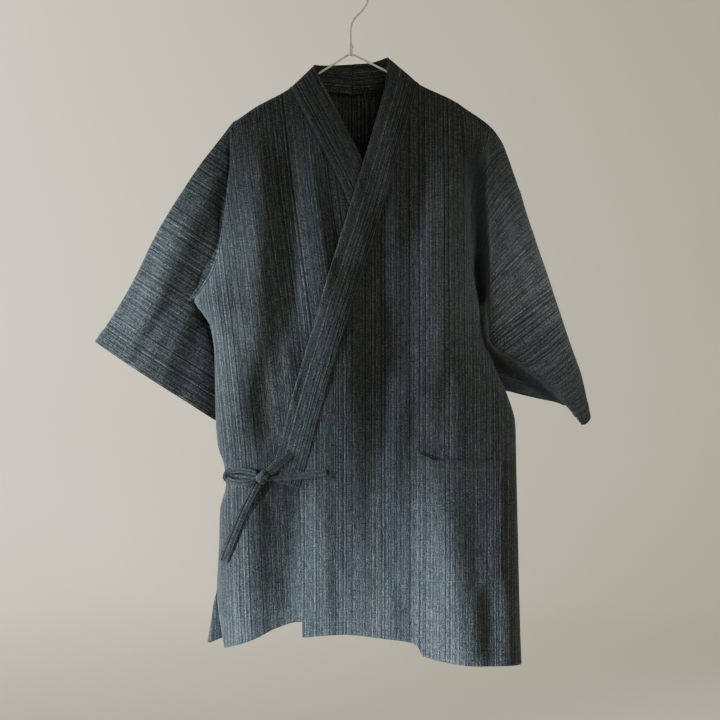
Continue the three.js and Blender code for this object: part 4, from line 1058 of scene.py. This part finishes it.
def stitch_tree(material):
    """Lays thread stitches along the paths it is given."""
    tree = bpy.data.node_groups.new("stitch_rows", "GeometryNodeTree")
    face = tree.interface
    face.new_socket("Geometry", in_out="INPUT", socket_type="NodeSocketGeometry")
    for name, size in STITCH.items():
        face.new_socket(name, in_out="INPUT", socket_type="NodeSocketFloat").default_value = size * MM
    face.new_socket("Geometry", in_out="OUTPUT", socket_type="NodeSocketGeometry")
    n = Nodes(tree)
    source = n.node("NodeGroupInput")
    result = tree.nodes.new("NodeGroupOutput")
    curve = n.node("GeometryNodeMeshToCurve", {"Mesh": source["Geometry"]})[0]
    pitch = source["Stitch pitch"]
    points = n.node("GeometryNodeCurveToPoints", {"Curve": curve, "Length": pitch}, mode="LENGTH")
    turn = n.node("FunctionNodeAlignRotationToVector", {"Vector": points["Tangent"]}, axis="Z")[0]
    ball = n.node("GeometryNodeMeshUVSphere", {"Segments": 6, "Rings": 4, "Radius": 1.0})["Mesh"]
    radius = source["Thread radius"]
    size = n.combine(radius, radius, n.times(source["Stitch length"], 0.5))
    placed = n.node("GeometryNodeInstanceOnPoints", {
        "Points": points["Points"], "Instance": ball, "Rotation": turn, "Scale": size})[0]
    real = n.node("GeometryNodeRealizeInstances", {0: placed})[0]
    smooth = n.node("GeometryNodeSetShadeSmooth", {0: real})[0]
    dressed = n.node("GeometryNodeSetMaterial", {"Geometry": smooth, "Material": material})[0]
    n.put(dressed, result.inputs["Geometry"])
    return tree


def stitched(name, paths, tree, material):
    """One mesh of all the stitches along these paths."""
    edges, start = [], 0
    for path in paths:
        edges += [(start + k, start + k + 1) for k in range(len(path) - 1)]
        start += len(path)
    guide = bpy.data.meshes.new(name + "_guide")
    guide.from_pydata((np.vstack(paths) * MM).tolist(), edges, [])
    carrier = add_object(name + "_guide", guide)
    carrier.modifiers.new("rows", "NODES").node_group = tree
    graph = bpy.context.evaluated_depsgraph_get()
    mesh = bpy.data.meshes.new_from_object(carrier.evaluated_get(graph), depsgraph=graph)
    bpy.data.objects.remove(carrier)
    finish_piece(add_object(name, mesh), material, [])


def grid_line(grid, normal, start, end, lift):
    """A path on a grid between two places given as shares of its rows and columns."""
    rows, columns = grid.shape[:2]
    t = np.linspace(0, 1, 2 * max(rows, columns))
    r = np.clip(mix(start[0], end[0], t) * (rows - 1), 0, rows - 1.001)
    c = np.clip(mix(start[1], end[1], t) * (columns - 1), 0, columns - 1.001)
    i, j = r.astype(int), c.astype(int)
    fr, fc = (r - i)[:, None], (c - j)[:, None]

    def sample(field):
        return mix(mix(field[i, j], field[i, j + 1], fc), mix(field[i + 1, j], field[i + 1, j + 1], fc), fr)

    return sample(grid) + sample(normal) * lift


# Assembly

STITCH_LIFT = 0.1


class Garment:
    """Makes the cloth pieces one by one and gathers their stitch rows."""

    def __init__(self, material):
        self.material = material
        self.rows = []
        self.pieces = {}

    def wall(self, name, node, grid, cut, outward, thickness=CLOTH, is_tube=False):
        obj, normal = cloth_wall(name, grid, thickness, cut, outward, is_tube)
        self.pieces[name] = finish_piece(obj, self.material, [node])
        return normal

    def sew(self, grid, normal, start, end):
        self.rows.append(grid_line(grid, normal, start, end, STITCH_LIFT))

    def sew_at(self, x, z, depth, hem=None, facing=-1):
        y = depth(x, z) + (0 if hem is None else facing * hem_relief(np.abs(z - hem(x))))
        self.rows.append(np.stack([x, y + facing * STITCH_LIFT, z], -1))


def lean(z):
    """How far the right front's stripes have moved across, this far down."""
    return np.interp(-z, [110, 300, 500, 700, 1000], [0, 22, 50, 72, 84])


def overlap_stitches(z):
    return OVER_OVERLAP_SEAM + 0 * z


def build_body(garment):
    for side in SIDES:
        grid = front_grid(side)
        across, along = plane_stripes(grid, side.front_cut)
        if side.sign < 0:
            across = across - lean(along)
        garment.wall(side.word + "_front_cloth", "front_" + side.word, grid, (across, along), FORWARD)
        grid = overlap_grid(side)
        cut = plane_stripes(grid, side.overlap_cut)
        garment.wall(side.word + "_overlap_cloth", "overlap_" + side.word, grid, cut, FORWARD)
    grid = back_grid()
    garment.wall("back_cloth", "back", grid, plane_stripes(grid, 905), BACKWARD)
    grid = yoke_grid()
    garment.wall("back_neck_band", "back_yoke", grid, plane_stripes(grid, 331), FORWARD)
    for start, end, count, depth, hem, facing in (
            (-188, 36, 300, tucked_front, under_hem, -1), (-13, 252, 320, over_front, over_hem, -1),
            (-69, -12, 90, over_front, over_hem, -1), (-205, 250, 520, back_depth, back_hem, 1)):
        x = np.linspace(start, end, count)
        garment.sew_at(x, hem(x) + HEM, depth, hem, facing)
    for start, end, count, depth, edge, inset in (
            (-560, -950, 420, over_front, overlap_stitches, 2.6), (-760, -955, 220, over_front, over_edge, 7),
            (-840, -985, 160, under_front, right_edge, 9)):
        z = np.linspace(start, end, count)
        garment.sew_at(edge(z) + inset, z, depth)


def build_collar(garment):
    near_seam, near_fold = 2.6, 2.8
    for side in SIDES:
        grid = band_grid(side)
        run = running_lengths(grid[:, grid.shape[1] // 2])
        width = np.linalg.norm(grid[:, -1] - grid[:, 0], axis=1)[:, None]
        u = np.linspace(0, 1, grid.shape[1])[None, :]
        across = u * width + 1300 + 170 * side.sign
        along = run[:, None] + 0 * across
        edge_dip = bell(u * width - near_seam, 1.1)
        edge_dip = edge_dip + bell((1 - u) * width - near_fold, 1.1)
        waves = 0.9 * soft_noise(along, across, 46, 30, 201 + side.sign)
        waves = waves + 0.4 * soft_noise(along, across, 17, 16, 211 + side.sign)
        settle = ease(0, 30, run)[:, None]
        grid = grid + forward_normals(grid) * (waves * settle - 0.4 * edge_dip)[..., None]
        middle_notch = 2.2 * bell(run, 1.8)
        grid[..., 1] += middle_notch[:, None]
        name = side.word + "_collar_band"
        normal = garment.wall(name, "collar_" + side.word, grid, (across, along), FORWARD, BAND)
        for place in (near_seam / BAND_WIDTH, 1 - near_fold / BAND_WIDTH):
            garment.sew(grid, normal, (0.003, place), (0.997, place))
    garment.sew(grid, normal, (0.993, 0.05), (0.993, 0.95))


def build_sleeves(garment):
    for side in SIDES:
        grid, along, round_it = sleeve_grid(side)
        if side.sign < 0:
            cut = plane_stripes(grid, 1800, (-0.537 * SLEEVE_STRIPES, -0.844 * SLEEVE_STRIPES))
        else:
            tops = running_lengths(grid[:, 0])[:, None]
            cut = (tops * SLEEVE_STRIPES + 0 * grid[..., 0] + 2100, round_it[None, :] * girths(grid)[:, None])
        name = side.word + "_sleeve_cloth"
        normal = garment.wall(name, "sleeve_" + side.word, grid, cut, outward_of_tube(grid), CLOTH, True)
        cuff = (1 - SLEEVE_HEM / along[-1]) ** (1 / SLEEVE_CROWDING)
        garment.sew(grid, normal, (cuff, 0), (cuff, 1 - 1 / grid.shape[1]))


def build_pocket(garment):
    u = np.linspace(0, 1, 60)[None, :]
    v = (np.linspace(0, 1, 90) ** 1.3)[:, None]
    corner = POCKET["liftedCorner"] * (1 - ease(0, 0.25, u)) * (1 - v)
    x = mix(POCKET["left"], POCKET["right"], u) + 0 * v
    z = mix(POCKET["top"] + corner, POCKET["bottom"], v)
    ground = np.stack([x, over_front(x, z), z], -1)
    down = (POCKET["top"] + corner) - z
    gape = POCKET["gape"] * (1 - ease(0, 0.3, v)) * (1 - ease(0.1, 0.9, u))
    gape = gape + POCKET["lip"] * (1 - ease(0, 30, down)) - POCKET["dip"] * (1 - ease(0, 3.0, down))
    hem = 0.5 * (1 - ease(25, 28, down))
    width, height = POCKET["right"] - POCKET["left"], POCKET["top"] - POCKET["bottom"]
    edge = np.minimum(np.minimum(u, 1 - u) * width, (1 - v) * height)
    dip = -0.4 * bell(edge - 3, 1.2)
    lift = POCKET["gap"] + CLOTH + gape + hem + dip
    grid = ground + forward_normals(ground) * lift[..., None]
    normal = garment.wall("pocket_cloth", "pocket", grid, plane_stripes(grid, 0), FORWARD)
    near, far, low = 0.024, 0.976, 0.983
    for start, end in (((0.02, near), (low, near)), ((low, near), (low, far)), ((low, far), (0.02, far)),
                       ((0.15, near), (0.15, far)), ((0.012, far), (0.05, 0.9))):
        garment.sew(grid, normal, start, end)


def build_ties(garment):
    ties = (("side", SIDE_TIE), ("front", FRONT_TIE), ("tail_side", TAIL_SIDE), ("tail_down", TAIL_DOWN),
            ("loop", LOOP))
    for number, (word, rows) in enumerate(ties):
        grid, across, along = tie_grid(rows)
        cut = (across + 3100 + 60 * number, along)
        normal = garment.wall("tie_strip_" + word, "tie_" + word, grid, cut, FORWARD, TIE)
        for place in (0.15, 0.85):
            garment.sew(grid, normal, (0.02, place), (0.98, place))


def build_stage():
    """A pale bowl: floor, round turn and wall."""
    floor, flat, turn, top, spokes, steps = -1.25, 2.4, 2.2, 4.2, 96, 12
    profile = [(flat, floor)]
    for k in range(1, steps + 1):
        angle = math.pi / 2 * k / steps
        profile.append((flat + turn * math.sin(angle), floor + turn * (1 - math.cos(angle))))
    profile.append((flat + turn, top))
    points = [(0, 0, floor)]
    for radius, height in profile:
        for k in range(spokes):
            angle = 2 * math.pi * k / spokes
            points.append((radius * math.cos(angle), radius * math.sin(angle), height))
    faces = [(0, 1 + k, 1 + (k + 1) % spokes) for k in range(spokes)]
    for j in range(len(profile) - 1):
        for k in range(spokes):
            a, b = 1 + j * spokes + k, 1 + j * spokes + (k + 1) % spokes
            faces.append((a, a + spokes, b + spokes, b))
    mesh = bpy.data.meshes.new("pale_stage")
    mesh.from_pydata(points, [], faces)
    mesh.shade_smooth()
    mesh.materials.append(pale_plaster())
    add_object("pale_stage", mesh)


# Places and sizes in metres, power in watts, spread in degrees
LIGHTS = table("name place aim size power color spread", [
    ("window", (-1.85, -1.6, -0.95), (0.27, 0, -1.18), (0.3, 0.3), 7.2, (0.78, 0.88, 1.0), 23),
    ("window_side", (-2.1, -0.32, -0.35), (-0.22, 0, -0.54), (0.4, 0.4), 1.9, (0.78, 0.90, 1.0), 22),
    ("right_sleeve_light", (-2.1, -1.7, -0.1), (-0.37, 0, -0.47), (0.2, 0.2), 0.42, (0.86, 0.94, 1.0), 11),
    ("left_sleeve_light", (1.3, -2.3, 0.2), (0.33, 0, -0.44), (0.2, 0.2), 0.26, (0.95, 0.97, 1.0), 10),
    ("room_fill", (1.6, -2.4, 0.6), (0, 0, -0.6), (2.4, 2.0), 15, (1.0, 0.95, 0.84), 180),
    ("wall_left", (-2.7, 1.7, 1.9), (-1.7, 4.2, -1.0), (1.6, 1.6), 165, (1.0, 0.97, 0.91), 140),
    ("back_fill", (-1.9, 2.3, 1.0), (0, 0, -0.6), (1.2, 1.2), 7, (1.0, 0.97, 0.92), 60),
    ("wall_right", (2.4, 1.2, 2.0), (1.0, 4.6, -0.6), (2.0, 1.2), 8, (1.0, 0.94, 0.82), 180),
])
ROOM_COLOR = (1.0, 0.94, 0.82, 1)
ROOM_STRENGTH = 0.19


def build_lights():
    for row in LIGHTS:
        data = bpy.data.lights.new(row["name"], "AREA")
        data.shape = "RECTANGLE"
        data.size, data.size_y = row["size"]
        data.energy = row["power"]
        data.color = row["color"]
        data.spread = math.radians(row["spread"])
        light = add_object(row["name"], data)
        light.location = row["place"]
        aim = Vector(row["aim"]) - Vector(row["place"])
        light.rotation_euler = aim.to_track_quat("-Z", "Y").to_euler()
    world = bpy.data.worlds.new("pale_room")
    world.use_nodes = True
    background = world.node_tree.nodes["Background"]
    background.inputs["Color"].default_value = ROOM_COLOR
    background.inputs["Strength"].default_value = ROOM_STRENGTH
    bpy.context.scene.world = world


def build_camera():
    data = bpy.data.cameras.new("front_camera")
    data.lens = 86.67
    data.sensor_width = 36
    camera = add_object("front_camera", data)
    camera.location = (0.0135, -2.6, -0.5646)
    camera.rotation_euler = (math.pi / 2, 0, 0)
    bpy.context.scene.camera = camera


cotton = striped_cotton()
thread = sewing_thread()
garment = Garment(cotton)
build_body(garment)
build_collar(garment)
build_sleeves(garment)
build_pocket(garment)
build_ties(garment)
knot_piece(cotton)
hanger(coated_wire())
stitched("sewing_rows", garment.rows, stitch_tree(thread), thread)
build_stage()
build_lights()
build_camera()
